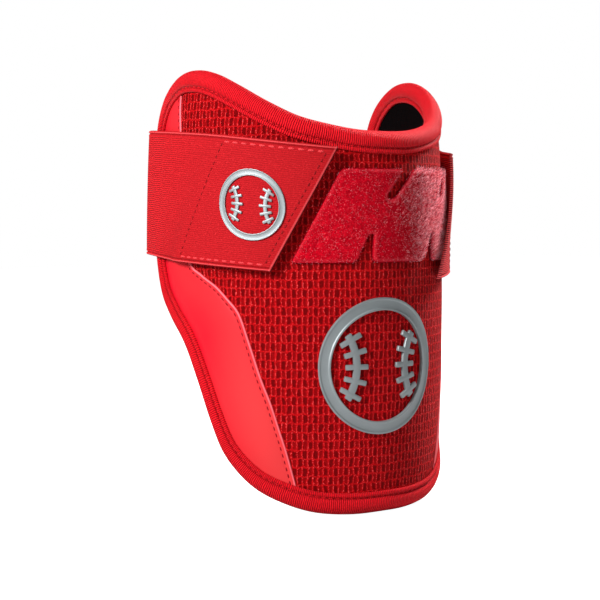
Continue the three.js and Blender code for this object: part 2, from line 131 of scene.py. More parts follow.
# The ball badges.
BADGE_DIAMETER = 54
BADGE_STROKE = 5
BADGE_THICKNESS = 1.5
BADGE_WRAP = -3
BADGE_RISE = -23
TAB_BADGE_DIAMETER = 26
TAB_BADGE_STROKE = 2.4
TAB_BADGE_THICKNESS = 0.8
TAB_BADGE_BACK = 20
SEAM_ARC = math.radians(34)
SEAM_FILL = 0.82
STITCH_COUNT = 5
# The rest as shares: the seam's radius and centre of the diameter, a bar's size and the bead of the
# stroke, and the softened rims of the thickness.
SEAM_RADIUS = 0.42
SEAM_CENTRE = 0.63
SEAM_WIDTH = 0.6
BAR_LENGTH = 1.9
BAR_WIDTH = 0.42
BEAD_WIDTH = 0.14
SOFT_RIM = 0.14
SOFT_BAR = 0.25

# The cuff's outline laid flat, right half, as shares of its half width and of its height. A rise
# above nought is a share of EAR_HEIGHT, and one below it a share of TONGUE_DEPTH.
OUTLINE = (
    (0.0, 0.735), (0.104, 0.74), (0.207, 0.761), (0.31, 0.794), (0.414, 0.852),
    (0.531, 0.925), (0.635, 0.978), (0.722, 1.0), (0.811, 0.995), (0.881, 0.958),
    (0.946, 0.888), (0.993, 0.775), (1.0, 0.604), (0.991, 0.305), (0.961, 0.13),
    (0.918, 0.014), (0.857, -0.083), (0.774, -0.203), (0.706, -0.377), (0.652, -0.55),
    (0.597, -0.704), (0.533, -0.806), (0.458, -0.884), (0.362, -0.942), (0.257, -0.983),
    (0.128, -1.0), (0.0, -1.0),
)

# The seam between the mesh and the right wing, from above the top edge to below the bottom one.
SEAM = (
    (0.816, 1.06), (0.795, 0.75), (0.73, 0.186), (0.668, 0.133), (0.598, 0.085),
    (0.553, 0.037), (0.512, -0.018), (0.471, -0.164), (0.43, -0.335), (0.398, -0.45),
    (0.369, -0.578), (0.344, -0.693), (0.316, -0.852), (0.292, -1.06),
)

# The binding's outer arm, as reach in from the edge and depth: flange, stitch groove and roll.
BINDING_ARM = (
    (8.9, 0.62), (8.85, 0.3), (8.65, 0.0), (8.25, -0.18), (7.75, -0.18),
    (7.35, 0.02), (7.1, 0.4), (6.85, 0.66), (6.6, 0.4), (6.35, 0.0),
    (5.9, -0.38), (5.2, -0.62), (4.3, -0.72), (3.4, -0.6), (2.5, -0.25),
    (1.7, 0.3), (0.95, 1.0), (0.35, 1.95), (0.08, 2.6),
)
GROOVE_REACH = 6.85
FLANGE_REACH = 8.9
RIM_WALL = 2.6
CLOTH_INSET = 3.4

# The wing's height over the mesh cloth, by distance from its folded edge: the fold, the dip that
# the topstitch pulls, and the soft swell beyond it.
WING_PROFILE = (
    (0.0, -0.25), (0.2, 0.3), (0.5, 0.62), (0.9, 0.78), (1.25, 0.74),
    (1.75, 0.52), (2.1, 0.27), (2.3, 0.18), (2.6, 0.27), (3.8, 0.48),
    (7.0, 0.74), (14.0, 0.95), (30.0, 1.05),
)
TOPSTITCH_REACH = 2.3
WING_ROWS = (0.2, 0.5, 0.9, 1.25, 1.75, 2.1, 2.3, 2.6, 3.6)

# The cloths' thickness, how far the mesh runs under a wing, and how the pile's edge curves down.
MESH_THICKNESS = 0.8
WING_THICKNESS = 0.9
TAPE_THICKNESS = 0.85
MESH_UNDER_WING = 2.2
PILE_ROUND = 1.5
PILE_EDGE = 0.35

# Stitches: how deep the binding's lie, the length of a short one as a share of the setting, and the
# pitch as a share of the length. SEWN_ROW is how far the strap's sewn row lies from its end.
STITCH_DEPTH = 0.62
SHORT_STITCH = 0.8
STITCH_PITCH = 1.28
SEWN_ROW = 13

# How far apart the points of each cloth lie, how far from a wing's seam its own rows take over, and
# how far from the rim a point keeps: loose ones as a share of their spacing.
LINING_SPACING = 4.0
CLOTH_SPACING = 2.2
PILE_SPACING = 1.3
SEAM_SPACING = 1.2
SEAM_ZONE = 6.0
LOOSE_CLEARANCE = 0.55
ROW_CLEARANCE = 0.12

# The brushed pile: the way its combed fibres lean, and their root's half width, thin to thick.
NAP_TURN = math.radians(62)
FIBRE_WIDTH = (0.065, 0.125)

# The webbing's half section: place across it, and height as a share of its thickness.
SELVEDGE = (0.0, 0.25, 0.6, 0.95, 1.25, 1.5, 1.8, 2.2, 2.6, 3.2)
SELVEDGE_HEIGHT = (0.55, 0.95, 1.12, 1.05, 0.8, 0.84, 1.04, 1.06, 1.0, 1.0)
WEB_END = 1.2

CLOTH_SHEEN = (1.0, 0.3, 0.3, 1.0)
FILLING_FRAMES = 20

# The camera, found from the photograph's outline, in millimetres and degrees.
CAMERA_DISTANCE = 600
CAMERA_AZIMUTH = -33.8
CAMERA_ELEVATION = 3.88
CAMERA_LENS = 84.24
FRAME_PIXELS = 600
ORIGIN_PIXEL = (307.1, 299.0)

# The floor lies this far under the guard, in metres.
FLOOR_GAP = 0.0006


def smooth(low, high, value):
    """A soft step from 0 at low to 1 at high."""
    share = np.clip((np.asarray(value, float) - low) / (high - low), 0, 1)
    return share * share * (3 - 2 * share)


def waves(x, y, seed):
    """Slow, uneven hills between about -1 and 1, the same at each run."""
    draw = np.random.default_rng(seed)
    total = np.zeros(np.broadcast(x, y).shape)
    for _ in range(7):
        turn = draw.uniform(0, 2 * math.pi)
        length = draw.uniform(16, 55)
        shift = draw.uniform(0, 2 * math.pi)
        total += np.sin(2 * math.pi * (x * math.cos(turn) + y * math.sin(turn)) / length + shift)
    return total / 4


# The loop that the cuff and the strap follow, seen from above.


def loop_table():
    """Half of the loop from the front's middle: reach, place, and the angle of the way out."""
    side_start = FRONT_RADIUS * FRONT_HALF_ANGLE
    front = np.linspace(0, side_start, 300)
    front_angle = front / FRONT_RADIUS
    front_at = np.c_[FRONT_RADIUS * np.sin(front_angle), -FRONT_RADIUS * np.cos(front_angle)]
    side = np.linspace(side_start, HALF_WRAP, 200)[1:]
    side_angle = FRONT_HALF_ANGLE + (side - side_start) / SIDE_RADIUS
    centre = FRONT_RADIUS - SIDE_RADIUS
    side_at = np.c_[
        centre * math.sin(FRONT_HALF_ANGLE) + SIDE_RADIUS * np.sin(side_angle),
        -centre * math.cos(FRONT_HALF_ANGLE) - SIDE_RADIUS * np.cos(side_angle),
    ]
    turn_angle = side_angle[-1] + np.linspace(0, EDGE_TURN, 30)[1:]
    pivot = side_at[-1] + EDGE_TURN_RADIUS * np.array([-math.sin(side_angle[-1]), math.cos(side_angle[-1])])
    turn_at = pivot + EDGE_TURN_RADIUS * np.c_[np.sin(turn_angle), -np.cos(turn_angle)]
    turn = HALF_WRAP + EDGE_TURN_RADIUS * (turn_angle - side_angle[-1])
    edge, leaving = turn_at[-1], turn_angle[-1]
    handle = BACK_HANDLE * (STRAP_BACK - edge[1])
    controls = np.array(
        [
            edge,
            edge + handle * np.array([math.cos(leaving), math.sin(leaving)]),
            [BACK_HANDLE * edge[0], STRAP_BACK],
            [0, STRAP_BACK],
        ]
    )
    t = np.linspace(0, 1, 400)[1:, None]
    weights = np.hstack([(1 - t) ** 3, 3 * t * (1 - t) ** 2, 3 * t**2 * (1 - t), t**3])
    back_at = weights @ controls
    steps = np.linalg.norm(np.diff(np.vstack([edge, back_at]), axis=0), axis=1)
    back = turn[-1] + np.cumsum(steps)
    along = np.gradient(np.vstack([turn_at[-1:], back_at]), axis=0)[1:]
    back_angle = np.arctan2(along[:, 1], along[:, 0])
    return (
        np.concatenate([front, side, turn, back]),
        np.vstack([front_at, side_at, turn_at, back_at]),
        np.concatenate([front_angle, side_angle, turn_angle, back_angle]),
    )


LOOP_REACH, LOOP_AT, LOOP_ANGLE = loop_table()
LOOP = 2 * LOOP_REACH[-1]


def on_guard(wrap, rise, depth):
    """Points in metres from the flat pattern: along the loop, up, and under the outer face."""
    wrap, rise, depth = np.broadcast_arrays(np.asarray(wrap, float), rise, depth)
    around = np.where(wrap > LOOP / 2, wrap - LOOP, wrap)
    side = np.where(around < 0, -1.0, 1.0)
    reach = np.abs(around)
    x = np.interp(reach, LOOP_REACH, LOOP_AT[:, 0])
    y = np.interp(reach, LOOP_REACH, LOOP_AT[:, 1])
    angle = np.interp(reach, LOOP_REACH, LOOP_ANGLE)
    inward = depth + BARREL_DROP * (rise / BARREL_REACH) ** 2
    return MM * np.stack(
        [side * (x - np.sin(angle) * inward), y + np.cos(angle) * inward, rise + 0 * x], axis=-1
    )


# Lines of the flat pattern.


def bent_span(b, c, leave, arrive, count):
    """Points of a smooth span from b towards c, by the way it leaves and the way it arrives."""
    t = np.linspace(0, 1, count, endpoint=False)[:, None]
    return b + leave * t + (3 * (c - b) - 2 * leave - arrive) * t**2 + (2 * (b - c) + leave + arrive) * t**3


def centripetal(points, closed):
    """A smooth line through points, densely sampled, as the source's outline is drawn."""
    points = np.asarray(points, float)
    count = len(points)
    dense = []
    for i in range(count if closed else count - 1):
        if closed:
            a, b, c, d = (points[(i + k - 1) % count] for k in range(4))
        else:
            b, c = points[i], points[i + 1]
            a = points[i - 1] if i else 2 * b - c
            d = points[i + 2] if i + 2 < count else 2 * c - b
        first, middle, last = (np.linalg.norm(q - p) ** 0.5 for p, q in ((a, b), (b, c), (c, d)))
        leave = ((b - a) / first - (c - a) / (first + middle) + (c - b) / middle) * middle
        arrive = ((c - b) / middle - (d - b) / (middle + last) + (d - c) / last) * middle
        dense.append(bent_span(b, c, leave, arrive, 24))
    if not closed:
        dense.append(points[-1:])
    return np.vstack(dense)


def travel(line):
    """How far along a line each of its points is."""
    return np.r_[0, np.cumsum(np.linalg.norm(np.diff(line, axis=0), axis=1))]


def spaced(line, step, closed=False):
    """The line sampled again at even steps of about the given length."""
    line = np.vstack([line, line[:1]]) if closed else line
    travelled = travel(line)
    count = max(2, round(travelled[-1] / step))
    wanted = np.linspace(0, travelled[-1], count + 1)
    wanted = wanted[:-1] if closed else wanted
    return np.stack([np.interp(wanted, travelled, line[:, k]) for k in range(line.shape[1])], 1)


def to_left(line, closed):
    """The unit step to the left of a flat line, at each of its points."""
    if closed:
        along = np.roll(line, -1, axis=0) - np.roll(line, 1, axis=0)
    else:
        along = np.gradient(line, axis=0)
    along /= np.linalg.norm(along, axis=1)[:, None]
    return np.c_[-along[:, 1], along[:, 0]]


def pattern_points(table):
    """Rows of a table of shares, as points of the flat pattern."""
    return np.array(
        [(wrap * HALF_WRAP, rise * (EAR_HEIGHT if rise > 0 else TONGUE_DEPTH)) for wrap, rise in table]
    )


def cuff_outline():
    """The outline, anticlockwise from the bottom's middle."""
    right = pattern_points(OUTLINE)[::-1]
    left = right[1:-1][::-1] * (-1, 1)
    return centripetal(np.vstack([right, left]), closed=True)


EDGE_LINE = spaced(cuff_outline(), 2.0, closed=True)
CLOTH_LINE = EDGE_LINE + CLOTH_INSET * to_left(EDGE_LINE, closed=True)
SEAM_LINE = centripetal(pattern_points(SEAM), closed=False)


def seam_wrap(rise):
    """How far out the seam between the mesh and a wing runs, at a rise."""
    return np.interp(rise, SEAM_LINE[::-1, 1], SEAM_LINE[::-1, 0])


def reach_from(points, line, closed=False):
    """The distance of flat points from a line."""
    ends = np.roll(line, -1, axis=0) if closed else line[1:]
    starts = line if closed else line[:-1]
    span = ends - starts
    length = np.maximum((span**2).sum(1), 1e-12)
    best = np.full(len(points), 1e9)
    for start, along, size in zip(starts, span, length):
        share = np.clip(((points - start) @ along) / size, 0, 1)
        away = points - start - share[:, None] * along
        best = np.minimum(best, (away**2).sum(1))
    return np.sqrt(best)


def is_inside(points, ring):
    """Which flat points lie within a closed ring."""
    inside = np.zeros(len(points), bool)
    for a, b in zip(ring, np.roll(ring, -1, axis=0)):
        between = (a[1] > points[:, 1]) != (b[1] > points[:, 1])
        rise = b[1] - a[1] if b[1] != a[1] else 1e-9
        crossing = a[0] + (points[:, 1] - a[1]) / rise * (b[0] - a[0])
        inside ^= between & (points[:, 0] < crossing)
    return inside


def mesh_depth(points):
    """The depth of the mesh cloth's face: held down by the binding, and softly filled inside it."""
    reach = reach_from(points, EDGE_LINE, closed=True)
    under_wing = smooth(-1.5, 0.4, np.abs(points[:, 0]) - seam_wrap(points[:, 1]))
    fill = 0.45 * smooth(FLANGE_REACH - 1, FLANGE_REACH + 12, reach)
    uneven = 0.1 * waves(points[:, 0], points[:, 1], 3) * smooth(10, 25, reach)
    return SKIN_TOP - fill - uneven * (fill > 0) + 0.5 * under_wing


def fold_reach(points):
    """The distance of a wing's flat points from its folded edge."""
    side = np.sign(points[:, :1])
    return reach_from(points * np.hstack([side, np.ones_like(side)]), SEAM_LINE[::3])


def wing_depth(points):
    """The depth of a wing's face: folded at its seam, held down by the binding."""
    from_seam = fold_reach(points)
    reach = reach_from(points, EDGE_LINE, closed=True)
    distances, heights = zip(*WING_PROFILE)
    lift = np.interp(from_seam, distances, heights)
    free = smooth(FLANGE_REACH - 1.5, FLANGE_REACH + 7, reach)
    uneven = 0.14 * waves(points[:, 0], points[:, 1], 8) * free * smooth(5, 14, from_seam)
    return SKIN_TOP + 0.05 - np.minimum(lift, 0.35 + free) * (0.45 + 0.55 * free) - uneven


# Making meshes.


def make_object(name, points, faces, pattern=None):
    """A smooth mesh object at the origin, with a pattern place at each point or face corner."""
    mesh = bpy.data.meshes.new(name)
    mesh.from_pydata(np.asarray(points).tolist(), [], [tuple(map(int, f)) for f in faces])
    if pattern is not None:
        domain = "CORNER" if len(pattern) == len(mesh.loops) else "POINT"
        place = mesh.attributes.new("pattern", "FLOAT_VECTOR", domain)
        place.data.foreach_set("vector", np.asarray(pattern, np.float32).ravel())
    mesh.polygons.foreach_set("use_smooth", [True] * len(mesh.polygons))
    mesh.update()
    piece = bpy.data.objects.new(name, mesh)
    bpy.context.scene.collection.objects.link(piece)
    return piece


def select_only(piece):
    """Deselects everything, then selects the piece and makes it active."""
    bpy.ops.object.select_all(action="DESELECT")
    piece.select_set(True)
    bpy.context.view_layer.objects.active = piece


def apply_modifier(piece, kind, name, **settings):
    """Adds a modifier with its settings and applies it."""
    select_only(piece)
    modifier = piece.modifiers.new(name, kind)
    for key, value in settings.items():
        setattr(modifier, key, value)
    bpy.ops.object.modifier_apply(modifier=name)


def soften_rims(piece, width):
    """Bevels the sharp edges of a rigid piece."""
    apply_modifier(piece, "BEVEL", "soft_rims", width=width, segments=2, limit_method="ANGLE")


def dress(piece, finish, slot, *nodes):
    """Gives the piece its material, lets it ride on the guard, and stands it for nodes. Its slot is not used.
    """
    piece.data.materials.clear()
    piece.data.materials.append(finish)
    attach(piece, "root")
    if nodes:
        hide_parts(*nodes)
    return piece


def flat_area(points, faces):
    """The area of flat triangles, in square metres."""
    a, b, c = (points[[f[k] for f in faces]] for k in range(3))
    u, v = b - a, c - a
    return float(np.abs(u[:, 0] * v[:, 1] - u[:, 1] * v[:, 0]).sum() / 2) * MM * MM


def triangulated(ring, spacing, extra=None, keep_off=0.0):
    """Flat points and triangles that fill a ring evenly, with extra points where they are given."""
    low, high = ring.min(0), ring.max(0)
    columns = np.arange(low[0], high[0], spacing)
    rows = np.arange(low[1], high[1], spacing * math.sqrt(0.75))
    grid = np.array([(x + (k % 2) * spacing / 2, y) for k, y in enumerate(rows) for x in columns])
    grid = grid[is_inside(grid, ring)]
    grid = grid[reach_from(grid, ring, closed=True) > LOOSE_CLEARANCE * spacing]
    if extra is not None:
        extra = extra[is_inside(extra, ring)]
        extra = extra[reach_from(extra, ring, closed=True) > ROW_CLEARANCE]
        if keep_off:
            grid = grid[reach_from(grid, SEAM_BOTH) > keep_off]
        grid = np.vstack([grid, extra])
    points = np.vstack([ring, grid])
    rim = [(i, (i + 1) % len(ring)) for i in range(len(ring))]
    found = delaunay_2d_cdt([Vector(p) for p in points], rim, [], 1, 1e-5)
    flat = np.array([tuple(v) for v in found[0]])
    return flat, [tuple(f) for f in found[2]]


# Both seams as one line, joined far below the guard, so that one test covers them.
SEAM_BOTH = np.vstack([SEAM_LINE[::3], [(0, -400)], (SEAM_LINE[::3] * (-1, 1))[::-1]])


def wing_ring(side):
    """The flat outline of a wing: its folded edge and the cloth's edge beyond it."""
    beyond = np.flatnonzero(CLOTH_LINE[:, 0] > seam_wrap(CLOTH_LINE[:, 1]))
    arc = CLOTH_LINE[beyond]
    seam = spaced(SEAM_LINE, SEAM_SPACING)
    seam = seam[(seam[:, 1] < arc[-1, 1] - 0.5) & (seam[:, 1] > arc[0, 1] + 0.5)]
    ring = np.vstack([arc, seam])
    return ring if side > 0 else (ring * (-1, 1))[::-1]


def mesh_ring():
    """The flat outline of the mesh cloth, which runs a little way under both wings."""
    start = int(np.argmin(CLOTH_LINE[:, 0]))
    line = np.roll(CLOTH_LINE, -start, axis=0)
    kept = np.abs(line[:, 0]) < seam_wrap(line[:, 1]) + MESH_UNDER_WING
    bottom = line[kept & (line[:, 1] < 0)]
    top = line[kept & (line[:, 1] > 0)]
    seam = spaced(SEAM_LINE, 2.0)[::-1] + (MESH_UNDER_WING, 0)
    seam = seam[(seam[:, 1] > bottom[-1, 1] + 0.5) & (seam[:, 1] < top[0, 1] - 0.5)]
    return np.vstack([bottom, seam, top, (seam * (-1, 1))[::-1]])


def closed_sheet(flat, faces, top, under, pattern):
    """Points and faces of a thin closed form between two depths over a flat triangulation."""
    count = len(flat)
    points = np.vstack([on_guard(flat[:, 0], flat[:, 1], top), on_guard(flat[:, 0], flat[:, 1], under)])
    uses = {}
    for a, b, c in faces:
        for edge in ((a, b), (b, c), (c, a)):
            uses[edge] = uses.get(edge, 0) + 1
    rim = [(a, b) for a, b in uses if (b, a) not in uses]
    sides = [(b, a, a + count, b + count) for a, b in rim]
    below = [(c + count, b + count, a + count) for a, b, c in faces]
    return points, [*faces, *below, *sides], np.vstack([pattern, pattern])


def swept(rings, closed):
    """Faces that join rings of points, each a closed section, one to the next."""
    count, size = rings
    faces = []
    for i in range(count if closed else count - 1):
        for j in range(size):
            a, b = i * size + j, i * size + (j + 1) % size
            c, d = ((i + 1) % count) * size + (j + 1) % size, ((i + 1) % count) * size + j
            faces.append((a, b, c, d))
    return faces


def stitch_row(name, line, outs, length, thickness, finish, slot):
    """A row of stitches along a line in metres: short threads that rise and dip into the cloth."""
    sides, rings = 6, 6
    travelled = travel(line)
    pitch = length * STITCH_PITCH
    count = max(1, int(travelled[-1] / pitch))
    starts = (np.arange(count) + 0.14) * travelled[-1] / count
    t = np.linspace(0, 1, rings)
    points, faces, pattern = [], [], []
    around = np.linspace(0, 2 * math.pi, sides, endpoint=False)
    for k, start in enumerate(starts):
        where = start + t * length
        at = np.stack([np.interp(where, travelled, line[:, i]) for i in range(3)], 1)
        out = np.stack([np.interp(where, travelled, outs[:, i]) for i in range(3)], 1)
        out /= np.linalg.norm(out, axis=1)[:, None]
        along = np.gradient(at, axis=0)
        along /= np.linalg.norm(along, axis=1)[:, None]
        across = np.cross(along, out)
        bow = np.sin(math.pi * t) ** 0.6
        radius = thickness / 2 * (0.55 + 0.45 * bow)
        centre = at + out * (thickness * (0.62 * bow - 0.5))[:, None]
        base = len(points) * rings * sides
        ring = (
            centre[:, None]
            + radius[:, None, None] * np.cos(around)[None, :, None] * across[:, None]
            + 0.8 * radius[:, None, None] * np.sin(around)[None, :, None] * out[:, None]
        )
        points.append(ring.reshape(-1, 3))
        places = np.broadcast_arrays(where[:, None] * 1000, around, float(k))
        pattern.append(np.stack(places, -1).reshape(-1, 3))
        faces += [tuple(base + v for v in f) for f in swept((rings, sides), False)]
        faces.append(tuple(base + v for v in range(sides))[::-1])
        faces.append(tuple(base + (rings - 1) * sides + v for v in range(sides)))
    row = make_object(name, np.vstack(points), faces, np.vstack(pattern))
    recalculate(row)
    return dress(row, finish, slot)


@contextmanager
def editing():
    """Edit mode of the active piece, with everything selected at first."""
    bpy.ops.object.mode_set(mode="EDIT")
    bpy.ops.mesh.select_all(action="SELECT")
    yield
    bpy.ops.object.mode_set(mode="OBJECT")


def recalculate(piece):
    """Turns every face of a closed piece outwards."""
    select_only(piece)
    with editing():
        bpy.ops.mesh.normals_make_consistent(inside=False)


def outs_on_guard(wrap, rise, depth):
    """The way out of the cuff at places of the flat pattern."""
    outs = on_guard(wrap, rise, np.asarray(depth) - 1.0) - on_guard(wrap, rise, depth)
    return outs / np.linalg.norm(outs, axis=-1)[..., None]


def cuff_stitches(name, line, depth, way, sizes, thread, slot):
    """A row of short stitches along a flat line, at a depth of the cuff, on its outer or inner face."""
    at = on_guard(line[:, 0], line[:, 1], depth)
    outs = way * outs_on_guard(line[:, 0], line[:, 1], depth)
    length = SHORT_STITCH * sizes.stitch_length
    stitch_row(name, at, outs, length, sizes.thread_thickness, finish(thread), slot)


def laid_sheet(name, flat, faces, depths, reach):
    """A thin cloth between two depths, over a flat triangulation."""
    piece = make_object(name, *closed_sheet(flat, faces, *depths, np.c_[flat, reach]))
    flat_area(flat, faces)
    return piece


# The strap.


def strap_middle():
    """The strap's middle line on the flat pattern, from its sewn end to its tab."""
    wraps = (SEWN_END, HALF_WRAP, LOOP / 2, LOOP - HALF_WRAP, LOOP - TAB_END)
    knots = np.c_[wraps, np.array(STRAP_RISES) * STRAP_RISE]
    padded = np.vstack([knots[:1], knots, knots[-1:]])
    spans = zip(padded, padded[1:], padded[2:], padded[3:])
    dense = [bent_span(b, c, (c - a) / 2, (d - b) / 2, 60) for a, b, c, d in spans]
    return np.vstack([*dense, knots[-1:]])


STRAP_LINE = strap_middle()
STRAP_TRAVEL = travel(STRAP_LINE)
STRAP_LENGTH = float(STRAP_TRAVEL[-1])


def on_strap(length, across, outward):
    """Points of the strap: length from its sewn end, share across it, and height over its under face."""
    length, across, outward = np.broadcast_arrays(np.asarray(length, float), across, outward)
    wrap = np.interp(length, STRAP_TRAVEL, STRAP_LINE[:, 0])
    rise = np.interp(length, STRAP_TRAVEL, STRAP_LINE[:, 1])
    from_tab = STRAP_LENGTH - length
    sewn_slant = SEWN_SLANT * (1 - smooth(0, SLANT_FADE, length))
    tab_slant = TAB_SLANT * (1 - smooth(TAB_LENGTH, TAB_LENGTH + SLANT_FADE, from_tab))
    ramp = TAB_LENGTH + TAB_LEVEL
    lift = 1 - smooth(ramp, ramp + TAB_RAMP, from_tab)
    width = TAB_WIDTH + (STRAP_WIDTH - TAB_WIDTH) * smooth(0, 2 * TAB_LENGTH, from_tab)
    under = STRAP_UNDER + (TAB_UNDER - STRAP_UNDER) * lift
    flare = (1 - smooth(0, FLARE_REACH, length)) * (FLARE_LOW + (FLARE_HIGH - FLARE_LOW) * across)
    return on_guard(
        wrap + (sewn_slant + tab_slant) * (across - 0.5),
        rise + width * (across - 0.5),
        under - flare - outward,
    )


# Materials. A shared effect is a node group; shaders stay in each material.


class Nodes:
    """Adds nodes to a tree, and joins them as they are made."""

    def __init__(self, tree):
        self.tree = tree

    def add(self, kind, settings=None, **inputs):
        made = self.tree.nodes.new(kind)
        for key, value in (settings or {}).items():
            setattr(made, key, value)
        for key, value in inputs.items():
            self.put(made.inputs[key], value)
        return made

    def put(self, socket, value):
        if isinstance(value, bpy.types.NodeSocket):
            self.tree.links.new(value, socket)
        else:
            socket.default_value = value

    def fill(self, made, *values):
        for socket, value in zip(made.inputs, values):
            self.put(socket, value)
        return made.outputs[0]

    def math(self, operation, *values, clamp=False):
        return self.fill(self.add("ShaderNodeMath", {"operation": operation, "use_clamp": clamp}), *values)

    times = partialmethod(math, "MULTIPLY")
    scaled = partialmethod(math, "MULTIPLY_ADD")
    plus = partialmethod(math, "ADD")
    less = partialmethod(math, "SUBTRACT")
    over = partialmethod(math, "DIVIDE")
    size = partialmethod(math, "ABSOLUTE")
    least = partialmethod(math, "MINIMUM")
    most = partialmethod(math, "MAXIMUM")
    sine = partialmethod(math, "SINE")
    cosine = partialmethod(math, "COSINE")

    def ramp(self, value, low, high, to_low=0.0, to_high=1.0):
        made = self.add("ShaderNodeMapRange", {"interpolation_type": "SMOOTHSTEP"})
        return self.fill(made, value, low, high, to_low, to_high)

    def mix(self, share, first, second):
        made = self.add("ShaderNodeMix", {"data_type": "RGBA"})
        for name, value in (("Factor", share), ("A", first), ("B", second)):
            fitting = [s for s in made.inputs if s.name == name and s.enabled]
            self.put(fitting[0], value)
        return next(s for s in made.outputs if s.enabled)

    def layers(self, colour, *over):
        """Lays colours over the first one in turn, each by its share."""
        for share, top in over:
            colour = self.mix(share, colour, top)
        return colour

    def noise(self, place, scale, detail=3.0, roughness=0.55):
        made = self.add("ShaderNodeTexNoise", Vector=place, Scale=scale, Detail=detail, Roughness=roughness)
        return made.outputs[0]

    def split(self, place):
        return self.add("ShaderNodeSeparateXYZ", Vector=place).outputs

    def group(self, name, **inputs):
        return self.add("ShaderNodeGroup", {"node_tree": bpy.data.node_groups[name]}, **inputs).outputs

    def ribs(self, along, pitch, place):
        return self.group("thread_ribs", Along=along, Pitch=pitch, Place=place)[0]

    # Painted light and shade: the colour on the ridges, its shaded copy between them.
    def tone(self, place, colour, shade, ridge, drift):
        return self.group("cloth_tone", Colour=colour, Shade=shade, Ridge=ridge, Place=place, Drift=drift)


def effect(name, inputs, outputs):
    """A new shader node group. Its sockets are words, with a kind after a colon if they aren't numbers."""
    tree = bpy.data.node_groups.new(name, "ShaderNodeTree")
    for way, words in (("INPUT", inputs), ("OUTPUT", outputs)):
        for word in words.split():
            socket, _, kind = word.partition(":")
            tree.interface.new_socket(name=socket, in_out=way, socket_type=f"NodeSocket{kind or 'Float'}")
    given, result = tree.nodes.new("NodeGroupInput"), tree.nodes.new("NodeGroupOutput")
    return Nodes(tree), given.outputs, result.inputs


def ribs_effect():
    """Thread ribs: a ridge that repeats along one coordinate, with a slight waver."""
    nodes, given, result = effect("thread_ribs", "Along Pitch Place:Vector", "Ridge")
    waver = nodes.noise(given["Place"], 0.35, 2.0)
    turn = nodes.over(nodes.scaled(waver, 0.9, given["Along"]), given["Pitch"])
    wave = nodes.cosine(nodes.times(turn, 2 * math.pi))
    nodes.put(result["Ridge"], nodes.math("POWER", nodes.scaled(wave, 0.5, 0.5), 0.7))


def tone_effect():
    """Cloth tone: painted shade between the threads, mixing the colour towards its shaded copy where the
    ridge is low, and a tone that drifts a little over the cloth.
    """
    nodes, given, result = effect(
        "cloth_tone", "Colour:Color Shade:Color Ridge Place:Vector Drift", "Colour:Color Roughness"
    )
    # Painted shade: the shaded copy where the ridge is low, between the threads.
    base = nodes.mix(given["Ridge"], given["Shade"], given["Colour"])
    slow = nodes.noise(given["Place"], 0.06, 2.0)
    fine = nodes.noise(given["Place"], 2.4, 2.0)
    both = nodes.scaled(slow, 0.6, nodes.times(fine, 0.4))
    share = nodes.times(nodes.less(both, 0.36), given["Drift"])
    nodes.put(result["Colour"], nodes.mix(nodes.plus(share, 0.0, clamp=True), base, given["Shade"]))
    nodes.put(result["Roughness"], nodes.scaled(fine, 0.25, 0.6))


def slots_effect():
    """The mesh weave: upright slots in a checkerboard, masked for painted shade in the holes, and strands
    that bow round them, masked for painted highlights.
    """
    nodes, given, result = effect("mesh_slots", "Place:Vector Across Up", "Slot Height Strand")
    place = given["Place"]
    wrap, rise, _ = nodes.split(place)
    uneven = nodes.times(nodes.noise(place, 0.2, 2.0), 1.2)
    shift = nodes.scaled(nodes.noise(place, 0.8, 2.0), 0.9, uneven)
    column = nodes.times(nodes.over(nodes.plus(wrap, shift), given["Across"]), math.pi)
    bent = nodes.scaled(nodes.sine(column), 0.2, nodes.plus(rise, shift))
    row = nodes.times(nodes.over(bent, given["Up"]), math.pi)
    upright = nodes.least(nodes.most(nodes.times(nodes.cosine(row), 1.9), -1.0), 1.0)
    field = nodes.times(nodes.cosine(column), upright)
    stretched = nodes.add("ShaderNodeMapping", Vector=place, Scale=(1.0, 0.95, 1.0)).outputs[0]
    frayed = nodes.times(nodes.less(nodes.noise(stretched, 1.7, 3.0, 0.85), 0.5), 1.7)
    # The slots and the faint ones between them: masks of painted shade where the holes lie in shadow.
    dark = nodes.ramp(nodes.scaled(frayed, 0.7, field), 0.44, 0.7)
    between = nodes.scaled(field, -1.0, nodes.times(frayed, 0.8))
    slot = nodes.most(dark, nodes.ramp(between, 0.5, 0.85, 0.0, 0.62))
    # The strands round the slots: a mask of painted highlight, also used as their bump.
    ring = nodes.size(nodes.plus(field, 0.14))
    sides = nodes.ramp(nodes.size(upright), 0.1, 0.8, 0.72, 1.0)
    strand = nodes.times(nodes.ramp(ring, 0.38, 0.02, 0.28, 0.78), sides)
    painted_highlight = nodes.scaled(frayed, 1.9, strand, clamp=True)
    nodes.put(result["Slot"], slot)
    nodes.put(result["Height"], nodes.less(nodes.scaled(painted_highlight, 0.55, 0.45), slot))
    nodes.put(result["Strand"], painted_highlight)


def pattern_place(nodes):
    """The place on the flat pattern, in millimetres."""
    return nodes.add("ShaderNodeAttribute", {"attribute_name": "pattern"}).outputs["Vector"]


def object_place(nodes):
    """Object coordinates, brought to millimetres."""
    coordinates = nodes.add("ShaderNodeTexCoord").outputs["Object"]
    return nodes.add("ShaderNodeMapping", Vector=coordinates, Scale=(1000, 1000, 1000)).outputs[0]


def new_finish(name, where=pattern_place):
    """A new material: its nodes, its shader, and its coordinates."""
    made = bpy.data.materials.new(name)
    made.use_nodes = True
    nodes = Nodes(made.node_tree)
    return nodes, made.node_tree.nodes["Principled BSDF"], where(nodes)


